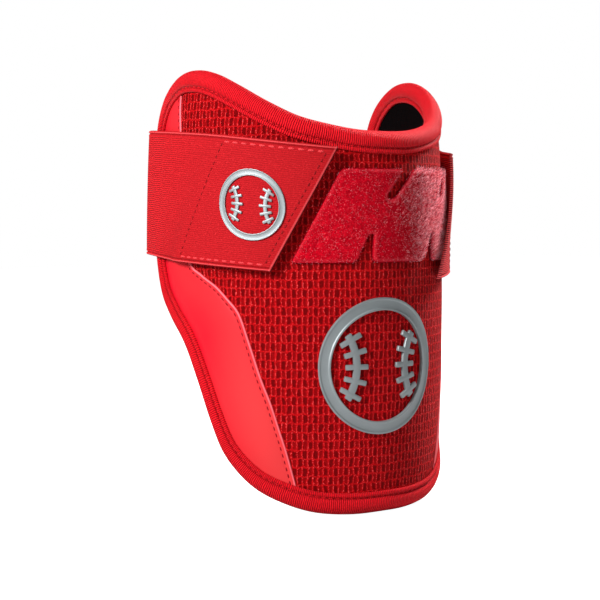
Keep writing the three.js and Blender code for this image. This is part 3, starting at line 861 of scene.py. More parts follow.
def feed(nodes, shader, colour, roughness=None, height=None, rise=0.0, **plain):
    """Feeds a shader its colour, roughness and bump, and the plain values that are the same all over."""
    nodes.put(shader.inputs["Base Color"], colour)
    if roughness is not None:
        nodes.put(shader.inputs["Roughness"], roughness)
    if height is not None:
        bump = nodes.add("ShaderNodeBump", Height=height, Distance=rise * MM, Strength=1.0)
        nodes.put(shader.inputs["Normal"], bump.outputs[0])
    for key, value in plain.items():
        shader.inputs[key.replace("_", " ")].default_value = value


def rgba(colour, scale=1.0):
    """A colour with its alpha, made lighter or darker."""
    return (colour[0] * scale, colour[1] * scale, colour[2] * scale, 1.0)


def mesh_finish(look):
    nodes, shader, place = new_finish("mesh_cloth")
    red = look.mesh_colour
    pitches = {"Across": look.slot_pitch * 1000, "Up": look.row_pitch * 1000}
    slot, height, strand = nodes.group("mesh_slots", Place=place, **pitches)
    # The strands' lit copy and the shaded copy between them: painted light and shade.
    tone, roughness = nodes.tone(place, rgba(red, 1.25), rgba(red, 0.5), strand, 0.5)
    # Painted highlights on the brightest strands, then painted shade in the slots, where the holes lie in
    # shadow.
    colour = nodes.layers(
        tone,
        (nodes.ramp(strand, 0.8, 1.0, 0.0, 0.65), (1.0, 0.18, 0.18, 1.0)),
        (slot, rgba(red, 0.27)),
    )
    feed(nodes, shader, colour, roughness, height, 0.6, IOR=1.12)


def wing_finish(look):
    """Smooth cloth with painted light: pinker near its fold and low down as a painted sheen, a deeper crimson
    painted shade away from the fold and towards the top, a pale painted highlight along the fold and painted
    shade on the edge under it.
    """
    nodes, shader, place = new_finish("wing_cloth")
    _, rise, fold = nodes.split(place)
    red = look.wing_colour
    # Painted sheen and shade: pinker near the fold and towards the bottom, deeper crimson towards the edge
    # and the top, which turn from the light.
    painted_shade_share = nodes.scaled(nodes.ramp(fold, 5, 24), 0.6, nodes.ramp(rise, -48, 0, 0.0, 0.55), clamp=True)
    grain = nodes.noise(place, 1.8, 4.0, 0.6)
    tone_and_painted_light = nodes.mix(painted_shade_share, rgba(red), rgba(look.wing_deep_colour))
    tone, _ = nodes.tone(place, tone_and_painted_light, rgba(red, 0.82), 1.0, 0.35)
    # A painted highlight along the rounded fold, and painted shade on the fold's edge under it.
    painted_highlight = nodes.times(nodes.ramp(fold, 0.2, 0.4), nodes.ramp(fold, 1.0, 0.7))
    colour = nodes.layers(
        tone,
        (nodes.times(painted_highlight, 0.85), (1.0, 0.17, 0.21, 1.0)),
        (nodes.ramp(fold, 0.3, 0.1, 0.0, 0.8), rgba(red, 0.45)),
    )
    feed(nodes, shader, colour, nodes.scaled(grain, 0.12, 0.4), grain, 0.02, Specular_IOR_Level=0.14)


def binding_finish(look):
    """Ribbed tape, with its ribs across the edge, painted shade between the ribs, and painted shade in the
    stitch groove.
    """
    nodes, shader, place = new_finish("binding_tape")
    along, _, reach = nodes.split(place)
    solid = object_place(nodes)
    red = look.binding_colour
    ribs = nodes.ribs(along, look.rib_pitch * 1000, solid)
    fuzz = nodes.noise(solid, 1.7, 4.0, 0.7)
    ridge = nodes.scaled(nodes.less(fuzz, 0.5), 1.1, ribs, clamp=True)
    tone, roughness = nodes.tone(solid, rgba(red, 1.2), rgba(red, 0.4), ridge, 0.4)
    # Painted shade in the stitch groove, broken where the ribs stand up.
    away = nodes.size(nodes.less(reach, GROOVE_REACH))
    groove = nodes.times(nodes.ramp(away, 0.75, 0.2), nodes.ramp(ridge, 0.9, 0.2, 0.35, 0.8))
    colour = nodes.mix(groove, tone, rgba(red, 0.18))
    sheen = {"Sheen_Weight": 0.12, "Sheen_Roughness": 0.3, "Sheen_Tint": CLOTH_SHEEN}
    height = nodes.scaled(fuzz, 0.3, ribs)
    feed(nodes, shader, colour, roughness, height, 0.34, Specular_IOR_Level=0.05, **sheen)


def web_finish(look):
    """Elastic webbing: ribs along it and corded selvedges, with painted light and shade: a darker tab, pale
    cord tops and dark grooves between the cords, a dark cut end with pale rib ends at the sewn end, and a
    pale line and a dark side at the tab's end.
    """
    nodes, shader, place = new_finish("elastic_web")
    length, across, _ = nodes.split(place)
    red = look.strap_colour
    ribs = nodes.ribs(across, look.strap_rib_pitch * 1000, place)
    grain = nodes.noise(place, 1.5, 4.0, 0.8)
    plain = nodes.ramp(length, STRAP_LENGTH - 85, STRAP_LENGTH - 50, 1.0, 0.3)
    to_edge = nodes.least(across, nodes.less(STRAP_WIDTH, across))
    inside = nodes.times(nodes.ramp(to_edge, 1.9, 2.5, 0.0, 1.7), plain)
    rib = nodes.times(nodes.less(ribs, 0.55), inside)
    ridge = nodes.plus(nodes.scaled(grain, 2.6, -0.75), rib, clamp=True)
    # Darker on the tab than along the rest: painted shade on the tab.
    tone_and_painted_light = nodes.mix(plain, rgba(red, 0.74), rgba(red, 1.32))
    tone, roughness = nodes.tone(place, tone_and_painted_light, rgba(red, 0.5), ridge, 0.35)
    # The corded selvedges: painted highlights on the cords and painted shade between them.
    cord = nodes.sine(nodes.scaled(to_edge, 2 * math.pi / 1.5, -1.2))
    cords = nodes.times(cord, nodes.ramp(to_edge, 2.2, 1.7))
    # The sewn end's face: painted shade, with the rib ends as painted highlights.
    shaded_end = nodes.mix(nodes.ramp(ribs, 0.35, 0.75), rgba(red, 0.16), (0.8, 0.09, 0.1, 1.0))
    # At the tab's end: a painted highlight along its fold and painted shade on its side face.
    to_tab = nodes.less(STRAP_LENGTH, length)
    colour = nodes.layers(
        tone,
        (nodes.ramp(grain, 0.58, 0.72, 0.0, 0.35), (1.0, 0.1, 0.11, 1.0)),
        (nodes.ramp(cords, 0.35, 1.0, 0.0, 0.5), (1.0, 0.12, 0.13, 1.0)),
        (nodes.ramp(cords, -0.5, -0.95, 0.0, 0.5), rgba(red, 0.2)),
        (nodes.ramp(length, 0.8, 0.5), shaded_end),
        (nodes.ramp(to_tab, 1.3, 0.9, 0.0, 0.35), (1.0, 0.14, 0.15, 1.0)),
        (nodes.ramp(to_tab, 0.5, 0.3), rgba(red, 0.2)),
    )
    height = nodes.scaled(cords, 0.5, nodes.scaled(rib, 0.8, grain))
    sheen = {"Sheen_Weight": 0.06, "Sheen_Roughness": 0.35, "Sheen_Tint": CLOTH_SHEEN}
    feed(nodes, shader, colour, roughness, height, 0.22, IOR=1.15, **sheen)


def pile_finish(look):
    """Brushed pile: speckled, with painted light and shade: darker towards the middle, a paler painted rim
    light towards the right, a painted highlight along its rounded rim and painted shade where its edge meets
    the mesh.
    """
    nodes, shader, place = new_finish("brushed_pile")
    wrap, _, reach = nodes.split(place)
    red = look.pile_colour
    clumps = nodes.noise(place, 0.5, 4.0, 0.7)
    fine = nodes.noise(place, 1.6, 3.0, 0.8)
    ridge = nodes.scaled(clumps, 0.5, nodes.times(fine, 0.6))
    tone, _ = nodes.tone(place, rgba(red, 1.3), rgba(red, 0.5), nodes.ramp(ridge, 0.4, 0.66), 0.5)
    rim = nodes.times(nodes.ramp(reach, 0.35, 0.8), nodes.ramp(reach, 2.2, 1.0))
    # Painted light and shade: shade towards the middle, a pale rim light towards the right, a highlight on
    # the rounded rim and shade at the pile's foot.
    colour = nodes.layers(
        tone,
        (nodes.ramp(fine, 0.62, 0.76, 0.0, 0.6), (1.0, 0.16, 0.21, 1.0)),
        (nodes.ramp(wrap, -14, 10, 0.0, 0.25), rgba(red, 0.35)),
        (nodes.ramp(wrap, 6, 26, 0.0, 0.45), (1.0, 0.12, 0.17, 1.0)),
        (nodes.times(rim, nodes.ramp(wrap, -15, 15, 0.1, 0.36)), (0.9, 0.12, 0.16, 1.0)),
        (nodes.ramp(reach, 0.5, 0.1, 0.0, 0.85), rgba(red, 0.12)),
    )
    feed(nodes, shader, colour, nodes.scaled(clumps, 0.2, 0.75), ridge, 0.9, IOR=1.0)


def fibre_finish(look):
    """Loose fibres: each has its own tint, paler towards the right as a painted rim light, and they shine
    more towards the right.
    """
    nodes, shader, place = new_finish("pile_fibres")
    wrap, _, tint = nodes.split(place)
    red = look.pile_colour
    # Dark to pale by each fibre's tint: partly random, partly a painted rim light towards the right.
    tone_and_painted_light = nodes.mix(nodes.ramp(tint, 0.0, 0.3), rgba(red, 0.4), rgba(red, 1.3))
    light = nodes.mix(nodes.ramp(tint, 0.3, 1.0), tone_and_painted_light, (1.0, 0.4, 0.45, 1.0))
    nodes.put(shader.inputs["Sheen Weight"], nodes.ramp(wrap, 6, 26, 0.0, 0.45))
    sheen = {"Sheen_Roughness": 0.3, "Sheen_Tint": (1.0, 0.42, 0.46, 1.0)}
    feed(nodes, shader, light, Roughness=0.6, IOR=1.0, **sheen)


def hook_finish(look):
    nodes, shader, place = new_finish("moulded_hooks")
    red = look.strap_colour
    bumps = nodes.add("ShaderNodeTexVoronoi", Vector=place, Scale=1.1).outputs[0]
    # Lighter on the hooks and darker between them: painted shade between the hooks.
    colour = nodes.mix(nodes.ramp(bumps, 0.1, 0.6), rgba(red, 0.6), rgba(red, 0.25))
    feed(nodes, shader, colour, None, bumps, 0.5, Roughness=0.55)


def lining_finish(look):
    nodes, shader, place = new_finish("lining_knit")
    wrap, rise, _ = nodes.split(place)
    black = look.lining_colour
    wales = nodes.ribs(wrap, 1.1, place)
    knit = nodes.times(wales, nodes.scaled(nodes.ribs(rise, 0.8, place), 0.5, 0.5))
    # Lit knit ridges and a shaded copy between them: painted light and shade.
    tone, roughness = nodes.tone(place, rgba(black, 1.5), rgba(black, 0.35), knit, 0.5)
    feed(nodes, shader, tone, roughness, knit, 0.2, Specular_IOR_Level=0.03)


def thread_finish(name, colour):
    nodes, shader, place = new_finish(name)
    along, around, _ = nodes.split(place)
    lay = nodes.scaled(along, 7.0, nodes.times(around, 2.0))
    twist = nodes.scaled(nodes.sine(lay), 0.5, 0.5)
    # Lighter on the twist's ridges and darker between them: painted light and shade.
    tone = nodes.mix(twist, rgba(colour, 0.55), rgba(colour, 1.1))
    feed(nodes, shader, tone, None, twist, 0.08, Roughness=0.5, Specular_IOR_Level=0.1)


def badge_finish(look):
    nodes, shader, place = new_finish("badge_silver", object_place)
    grey = look.badge_colour
    grain = nodes.noise(place, 2.6, 3.0, 0.6)
    colour = nodes.mix(nodes.noise(place, 0.08, 2.0), rgba(grey, 0.85), rgba(grey, 1.15))
    roughness = nodes.scaled(grain, 0.16, 0.42)
    feed(nodes, shader, colour, roughness, grain, 0.012, Metallic=0.6, Specular_IOR_Level=0.4)


def floor_finish(_):
    nodes, shader, place = new_finish("studio_floor", object_place)
    drift = nodes.noise(place, 0.004, 2.0)
    colour = nodes.mix(drift, (0.48, 0.48, 0.48, 1.0), (0.52, 0.52, 0.52, 1.0))
    seen = nodes.add("ShaderNodeLightPath").outputs["Is Camera Ray"]
    nodes.put(shader.inputs["Emission Strength"], seen)
    feed(nodes, shader, colour, Roughness=0.9, Specular_IOR_Level=0.1, Emission_Color=(1.0, 1.0, 1.0, 1.0))


FINISHES = (
    mesh_finish,
    wing_finish,
    binding_finish,
    web_finish,
    pile_finish,
    fibre_finish,
    hook_finish,
    lining_finish,
    badge_finish,
    floor_finish,
)


def make_finishes(look):
    """All materials and their shared effects, made once and found again by their names."""
    if "mesh_cloth" in bpy.data.materials:
        return
    for make in (ribs_effect, tone_effect, slots_effect):
        make()
    for make in FINISHES:
        make(look)
    # One thread in lit and shaded copies, painted light and shade: the lit one on the tab's long rows, shaded
    # ones in the stitch hollows; the edge thread has the binding's colour.
    for name, colour in (
        ("sewing_thread", look.thread_colour),
        ("dark_thread", look.dark_thread_colour),
        ("deep_thread", [0.6 * part for part in look.strap_colour]),
        ("edge_thread", look.binding_colour),
    ):
        thread_finish(name, colour)


def finish(name):
    return bpy.data.materials[name]


def length_choice(name, description, default):
    """A length in metres with its name, its description and its default."""
    return bpy.props.FloatProperty(name=name, description=description, default=default, unit="LENGTH")


def power_choice(name, description, default):
    """A light's power with its name, its description and its default."""
    return bpy.props.FloatProperty(name=name, description=description, default=default, min=0, unit="POWER")


def colour_choice(name, description, default):
    """A colour with its name, its description and its default."""
    return bpy.props.FloatVectorProperty(
        name=name, description=description, default=default, subtype="COLOR", min=0, max=1
    )


class GuardSizes(bpy.types.PropertyGroup):
    """Sizes of the details that the dressing adds."""

    rib_pitch: length_choice("Binding rib pitch", "From rib to rib of the binding", 0.00085)
    strap_rib_pitch: length_choice("Strap rib pitch", "From rib to rib of the elastic", 0.00082)
    slot_pitch: length_choice("Mesh column pitch", "From column to column of the mesh", 0.00212)
    row_pitch: length_choice("Mesh row pitch", "From row to row of the mesh", 0.0035)
    stitch_length: length_choice("Stitch length", "Length of one stitch", 0.0027)
    thread_thickness: length_choice("Thread thickness", "Thickness of the sewing thread", 0.0006)
    fibre_length: length_choice("Fibre length", "Length of the pile's loose fibres", 0.0015)
    fibre_count: bpy.props.IntProperty(
        name="Fibres", description="How many loose fibres stand on the pile", default=22000, min=0
    )
    padding_rise: length_choice("Padding rise", "How far the padding may swell inwards", 0.0028)
    padding_pressure: bpy.props.FloatProperty(
        name="Padding pressure", description="Pressure that fills the padding", default=4.0, min=0
    )


class GuardLook(bpy.types.PropertyGroup):
    """Colours of the guard and strength of the studio's lights."""

    mesh_colour: colour_choice("Mesh", "Colour of the mesh cloth", (0.78, 0.005, 0.009))
    # The wing colour is pinker as a painted sheen; its shaded copy is painted shade towards the edge and the
    # top.
    wing_colour: colour_choice("Wings", "Colour of the smooth wings", (0.66, 0.034, 0.037))
    wing_deep_colour: colour_choice("Wings, shaded", "Their colour towards the edge", (0.63, 0.003, 0.016))
    binding_colour: colour_choice("Binding", "Colour of the binding", (0.74, 0.008, 0.016))
    strap_colour: colour_choice("Strap", "Colour of the elastic", (0.57, 0.0105, 0.016))
    pile_colour: colour_choice("Pile", "Colour of the loop pile", (0.6, 0.003, 0.015))
    # The bright thread is a lit copy and the dark thread a shaded copy of one thread: painted light and
    # shade.
    thread_colour: colour_choice("Thread", "Colour of the bright thread", (0.88, 0.055, 0.065))
    dark_thread_colour: colour_choice("Dark thread", "Colour of the dark thread", (0.26, 0.001, 0.007))
    lining_colour: colour_choice("Lining", "Colour of the lining", (0.002, 0.0012, 0.0014))
    badge_colour: colour_choice("Badges", "Colour of the badges", (0.27, 0.3, 0.31))
    key_power: power_choice("Key light", "Power of the light at the front left", 18.0)
    front_power: power_choice("Front light", "Power of the soft light in front", 0.6)
    rim_power: power_choice("Rim light", "Power of the light at the right", 13.0)
    top_power: power_choice("Top light", "Power of the light overhead", 3.6)
    sky_strength: bpy.props.FloatProperty(
        name="Room light", description="Strength of the even light from all sides", default=0.085, min=0
    )


class GUARD_OT_stage(bpy.types.Operator):
    """Sets up the camera, the soft lights and the pale floor"""

    bl_idname = "guard.stage"
    bl_label = "Studio"

    def execute(self, context):
        look = context.scene.guard_look
        make_finishes(Settings(context.scene.guard_sizes, look))
        azimuth, elevation = math.radians(CAMERA_AZIMUTH), math.radians(CAMERA_ELEVATION)
        level = math.cos(elevation)
        back = Vector((math.sin(azimuth) * level, -math.cos(azimuth) * level, math.sin(elevation)))
        bpy.ops.object.camera_add(location=back * CAMERA_DISTANCE * MM)
        camera = context.object
        camera.name = "front_camera"
        camera.rotation_euler = (-back).to_track_quat("-Z", "Y").to_euler()
        camera.data.lens = CAMERA_LENS
        camera.data.shift_x = (FRAME_PIXELS / 2 - ORIGIN_PIXEL[0]) / FRAME_PIXELS
        camera.data.shift_y = (ORIGIN_PIXEL[1] - FRAME_PIXELS / 2) / FRAME_PIXELS
        context.scene.camera = camera

        middle = (0.0, 0.0, 0.0)
        add_softbox("key_light", (-1.02, -0.22, 0.5), middle, 0.3, look.key_power)
        add_softbox("front_light", (-0.2, -0.95, 0.35), middle, 0.5, look.front_power)
        add_softbox("top_light", (0.0, -0.15, 0.85), middle, 0.5, look.top_power)
        add_softbox("rim_light", (0.72, 0.13, 0.5), (0.02, 0.0, 0.04), 0.2, look.rim_power)
        world = bpy.data.worlds.new("studio")
        context.scene.world = world
        world.use_nodes = True
        sky = Nodes(world.node_tree)
        background = world.node_tree.nodes["Background"]
        background.inputs[0].default_value = (1.0, 1.0, 1.0, 1.0)
        seen = sky.add("ShaderNodeLightPath").outputs["Is Camera Ray"]
        sky.put(background.inputs[1], sky.ramp(seen, 0.0, 1.0, look.sky_strength, 1.0))
        context.scene.view_settings.view_transform = "Standard"

        floor_height = cad_box[0].z - FLOOR_GAP
        bpy.ops.object.select_all(action="DESELECT")
        bpy.ops.mesh.primitive_plane_add(size=4.0, location=(0.0, 0.0, floor_height))
        floor = context.object
        floor.name = "studio_floor"
        bpy.ops.object.transform_apply(location=True, rotation=True, scale=True)
        floor.data.materials.append(finish("studio_floor"))
        return {"FINISHED"}


def add_softbox(name, place, aim, size, power):
    """A square soft light that looks at a point."""
    bpy.ops.object.light_add(type="AREA", location=place)
    light = bpy.context.object
    light.name = name
    light.data.size = size
    light.data.energy = power
    light.rotation_euler = (Vector(aim) - Vector(place)).to_track_quat("-Z", "Y").to_euler()


class GUARD_OT_lining(bpy.types.Operator):
    """Makes the padded lining and fills it by cloth simulation"""

    bl_idname = "guard.lining"
    bl_label = "Padded lining"

    def execute(self, context):
        sizes = context.scene.guard_sizes
        flat, faces = triangulated(CLOTH_LINE[::2], LINING_SPACING)
        reach = reach_from(flat, EDGE_LINE, closed=True)
        pattern = np.c_[flat, reach]
        points, faces, pattern = closed_sheet(flat, faces, LINING_TOP, LINING_UNDER, pattern)
        lining = make_object("lining_pad", points, faces, pattern)
        held = lining.vertex_groups.new(name="held")
        outer = range(len(flat))
        rim = [len(flat) + int(i) for i in np.flatnonzero(reach < FLANGE_REACH + 0.5)]
        held.add([*outer, *rim], 1.0, "REPLACE")
        fill_with_cloth(lining, points, sizes)
        apply_modifier(lining, "SUBSURF", "soften", levels=1, render_levels=1)
        dress(lining, finish("lining_knit"), "lining_foam", "lining")
        return {"FINISHED"}


def fill_with_cloth(piece, rest, sizes):
    """Swells a pad by cloth simulation, and limits how far its points move."""
    select_only(piece)
    cloth = piece.modifiers.new("filling", "CLOTH")
    settings = cloth.settings
    settings.quality = 6
    settings.use_pressure = True
    settings.uniform_pressure_force = sizes.padding_pressure
    settings.vertex_group_mass = "held"
    settings.effector_weights.gravity = 0
    settings.tension_stiffness = 12
    settings.bending_stiffness = 0.8
    cloth.point_cache.frame_end = FILLING_FRAMES
    scene = bpy.context.scene
    for number in range(1, FILLING_FRAMES + 1):
        scene.frame_set(number)
    bpy.ops.object.modifier_apply(modifier="filling")
    scene.frame_set(1)
    moved = np.empty(len(rest) * 3)
    piece.data.vertices.foreach_get("co", moved)
    step = moved.reshape(-1, 3) - rest
    length = np.linalg.norm(step, axis=1)[:, None]
    cap = sizes.padding_rise
    eased = cap * np.tanh(length / cap) / np.maximum(length, 1e-9)
    limited = rest + step * np.where(length > 1e-9, eased, 0)
    piece.data.vertices.foreach_set("co", limited.ravel())
    piece.data.update()


class GUARD_OT_panels(bpy.types.Operator):
    """Makes the mesh cloth and the two wings with their folded edges and topstitches"""

    bl_idname = "guard.panels"
    bl_label = "Mesh and wings"

    def execute(self, context):
        sizes = context.scene.guard_sizes
        flat, faces = triangulated(mesh_ring(), CLOTH_SPACING)
        depth = mesh_depth(flat)
        reach = reach_from(flat, EDGE_LINE, closed=True)
        cloth = laid_sheet("mesh_cloth", flat, faces, (depth, depth + MESH_THICKNESS), reach)
        dress(cloth, finish("mesh_cloth"), "mesh", "mesh_panel")
        for side, word in ((-1, "left"), (1, "right")):
            self.wing(side, word, sizes)
        return {"FINISHED"}

    def wing(self, side, word, sizes):
        """One wing and the topstitch along its folded edge."""
        seam = spaced(SEAM_LINE, SEAM_SPACING)
        off = to_left(seam, closed=False)
        extra = np.vstack([seam + reach * off for reach in WING_ROWS]) * (side, 1)
        flat, faces = triangulated(wing_ring(side), CLOTH_SPACING, extra, keep_off=SEAM_ZONE)
        depth = wing_depth(flat)
        depths = (depth, depth + WING_THICKNESS)
        wing = laid_sheet(f"wing_cloth_{word}", flat, faces, depths, fold_reach(flat))
        dress(wing, finish("wing_cloth"), "wing", f"wing_{word}")
        line = (seam + TOPSTITCH_REACH * off) * (side, 1)
        within = reach_from(line, EDGE_LINE, closed=True) > FLANGE_REACH - 1
        line = line[within & is_inside(line, EDGE_LINE)]
        depth = wing_depth(line)
        # A shaded thread: painted shade in the topstitch's hollows.
        cuff_stitches(f"topstitch_{word}", line, depth, 1, sizes, "dark_thread", "wing")


class GUARD_OT_binding(bpy.types.Operator):
    """Rolls the ribbed binding round the whole edge, with its two rows of stitches"""

    bl_idname = "guard.binding"
    bl_label = "Edge binding"

    def execute(self, context):
        sizes = context.scene.guard_sizes
        outer = np.array(BINDING_ARM)
        rim = np.array([(0.0, WALL_MIDDLE)])
        inner = outer[::-1] * (1, -1) + (0, 2 * WALL_MIDDLE)
        far = 2 * WALL_MIDDLE - TAPE_THICKNESS
        slot = np.array(
            [(FLANGE_REACH, far), (RIM_WALL, far), (RIM_WALL, TAPE_THICKNESS), (FLANGE_REACH, TAPE_THICKNESS)]
        )
        section = np.vstack([outer, rim, inner, slot])
        around = travel(np.vstack([section, section[:1]]))
        line = spaced(EDGE_LINE, 1.6, closed=True)
        inwards = to_left(line, closed=True)
        along = travel(np.vstack([line, line[:1]]))
        ribs = round(along[-1] / (sizes.rib_pitch * 1000))
        along *= ribs * sizes.rib_pitch * 1000 / along[-1]
        at = line[:, None] + section[None, :, :1] * inwards[:, None]
        points = on_guard(at[..., 0], at[..., 1], section[None, :, 1])
        reach = np.r_[section[:, 0], section[0, 0]]
        grid = np.stack(np.broadcast_arrays(along[:, None], around[None, :], reach[None, :]), -1)
        corners = np.stack([grid[:-1, :-1], grid[:-1, 1:], grid[1:, 1:], grid[1:, :-1]], axis=2)
        faces = swept((len(line), len(section)), True)
        binding = make_object("binding_roll", points.reshape(-1, 3), faces, corners.reshape(-1, 3))
        recalculate(binding)
        dress(binding, finish("binding_tape"), "binding", "edge_binding")
        groove = line + GROOVE_REACH * inwards
        groove = np.vstack([groove, groove[:1]])
        cuff_stitches("binding_stitch_outer", groove, STITCH_DEPTH, 1, sizes, "edge_thread", "binding")
        inner_depth = 2 * WALL_MIDDLE - STITCH_DEPTH
        cuff_stitches("binding_stitch_inner", groove, inner_depth, -1, sizes, "edge_thread", "binding")
        return {"FINISHED"}


def ribbon(name, lengths, across, up, third):
    """A closed strip on the strap: a section repeated along it, with caps at both ends."""
    points = on_strap(lengths[:, None], across[None, :], up)
    pattern = np.stack(np.broadcast_arrays(lengths[:, None], across[None, :] * STRAP_WIDTH, third), -1)
    size = len(across)
    faces = swept((len(lengths), size), False)
    for start in (0, (len(lengths) - 1) * size):
        for j in range(size // 2 - 1):
            faces.append((start + j, start + j + 1, start + size - 2 - j, start + size - 1 - j))
    piece = make_object(name, points.reshape(-1, 3), faces, pattern.reshape(-1, 3))
    recalculate(piece)
    return piece


class GUARD_OT_strap(bpy.types.Operator):
    """Makes the elastic strap, its hook tape and the stitches on its tab"""

    bl_idname = "guard.strap"
    bl_label = "Strap"

    def execute(self, context):
        sizes = context.scene.guard_sizes
        edge, height = np.array(SELVEDGE), np.array(SELVEDGE_HEIGHT)
        middle = np.linspace(4.2, STRAP_WIDTH - 4.2, 26)
        across = np.concatenate([edge, middle, STRAP_WIDTH - edge[::-1]])
        top = np.concatenate([height, np.ones(len(middle)), height[::-1]]) * STRAP_THICKNESS
        under = np.concatenate([0.45 * (1 - height) * STRAP_THICKNESS, 0 * middle])
        under = np.concatenate([under, under[: len(edge)][::-1]])
        under = np.clip(under, 0, 0.5 * STRAP_THICKNESS)
        section_across = np.concatenate([across, across[::-1]]) / STRAP_WIDTH
        section_up = np.concatenate([top, under[::-1]])
        lengths = spaced(np.array([[0.0], [STRAP_LENGTH]]), 1.8)[:, 0]
        ends = np.array([0.35, 0.75, WEB_END])
        lengths = np.sort(np.concatenate([lengths, ends, STRAP_LENGTH - ends]))
        from_end = np.minimum(lengths, STRAP_LENGTH - lengths)
        squeeze = 0.5 + 0.5 * np.sqrt(1 - (1 - np.clip(from_end / WEB_END, 0, 1)) ** 2)
        middle_up = STRAP_THICKNESS / 2
        up = middle_up + (section_up[None, :] - middle_up) * squeeze[:, None]
        slack = 0.25 * waves(lengths * 1.6, 0 * lengths, 5)[:, None]
        ripple = slack * np.abs(2 * section_across[None, :] - 1) ** 3
        up = up + ripple * (from_end > 20)[:, None]
        strap = ribbon("strap_web", lengths, section_across, up, from_end[:, None])
        dress(strap, finish("elastic_web"), "elastic", "strap")
        self.hook_tape()
        self.tab_stitches(sizes)
        return {"FINISHED"}

    def hook_tape(self):
        """The hook tape under the tab."""
        margin = TAB_MARGIN / TAB_WIDTH
        lengths = STRAP_LENGTH - np.linspace(TAB_LENGTH, TAB_MARGIN, 26)
        across = np.linspace(margin, 1 - margin, 30)
        section = np.concatenate([across, across[::-1]])
        up = np.concatenate([np.full(30, TAB_UNDER - HOOK_TOP), np.full(30, TAB_UNDER - HOOK_UNDER)])
        tape = ribbon("hook_tape", lengths, section, up[None, :], up[None, :])
        dress(tape, finish("moulded_hooks"), "hook_tape", "hook_tab")

    def tab_stitches(self, sizes):
        """The four sewn rows on the tab, and the row that holds the strap's other end."""
        inset, low, high = 3.5, 0.05, 0.95
        near, far = STRAP_LENGTH - inset, STRAP_LENGTH - TAB_LENGTH - 0.5
        # The long rows take the lit thread, the short rows a half-shaded copy and the sewn row a shaded one:
        # painted light and shade.
        for name, thread, start, end in (
            ("tab_stitch_high", "sewing_thread", (near, high), (far, high)),
            ("tab_stitch_low", "sewing_thread", (near, low), (far, low)),
            ("tab_stitch_near", "deep_thread", (near, low), (near, high)),
            ("tab_stitch_far", "deep_thread", (far, low), (far, high)),
            ("sewn_stitch", "dark_thread", (SEWN_ROW, 0.04), (SEWN_ROW, 0.96)),
        ):
            line = np.stack([np.linspace(start[k], end[k], 60) for k in range(2)], 1)
            at = on_strap(line[:, 0], line[:, 1], STRAP_THICKNESS)
            outs = on_strap(line[:, 0], line[:, 1], STRAP_THICKNESS + 1) - at
            bold = thread == "sewing_thread"
            length = sizes.stitch_length * (1.1 if bold else 0.75)
            thickness = sizes.thread_thickness * (1.4 if bold else 1.0)
            stitch_row(name, at, outs, length, thickness, finish(thread), "elastic")


def rounded(corners, radius):
    """A ring of flat points with its corners rounded."""
    corners = np.asarray(corners, float)
    ring = []
    for before, corner, after in zip(np.roll(corners, 1, 0), corners, np.roll(corners, -1, 0)):
        back, ahead = before - corner, after - corner
        reach = min(radius, 0.45 * np.linalg.norm(back), 0.45 * np.linalg.norm(ahead))
        start = corner + back / np.linalg.norm(back) * reach
        end = corner + ahead / np.linalg.norm(ahead) * reach
        t = np.linspace(0, 1, 7)[:, None]
        ring.append((1 - t) ** 2 * start + 2 * t * (1 - t) * corner + t**2 * end)
    return np.vstack(ring)


def patch_ring(start, end, slits):
    """The flat outline of a loop patch with its slits, anticlockwise."""
    half = PATCH_HEIGHT / 2
    lean = PATCH_SLANT / 2

    def cut(middles, notch):
        turned = [(middle, x, y) for middle in middles for x, y in notch[::-1]]
        return [(middle + x * PATCH_HEIGHT, PATCH_RISE + y * PATCH_HEIGHT) for middle, x, y in turned]

    low = [(start - lean, PATCH_RISE - half), *cut(slits, NOTCHES[1]), (end - lean, PATCH_RISE - half)]
    high = [(end + lean, PATCH_RISE + half), *cut(slits[::-1], NOTCHES[0]), (start + lean, PATCH_RISE + half)]
    corners = [(x, min(max(y, PATCH_RISE - half), PATCH_RISE + half)) for x, y in low + high]
    return spaced(rounded(corners, PATCH_CORNER), 0.9, closed=True)


def pile_depth(points, reach, lumps=0.0):
    """The depths of the pile's face, which curves down at its edge, and of its ground."""
    ground = mesh_depth(points) + 0.05
    crown = np.sqrt(1 - (1 - np.clip(reach / PILE_ROUND, 0, 1)) ** 2)
    return ground - (ground - PATCH_TOP + lumps) * (PILE_EDGE + (1 - PILE_EDGE) * crown), ground


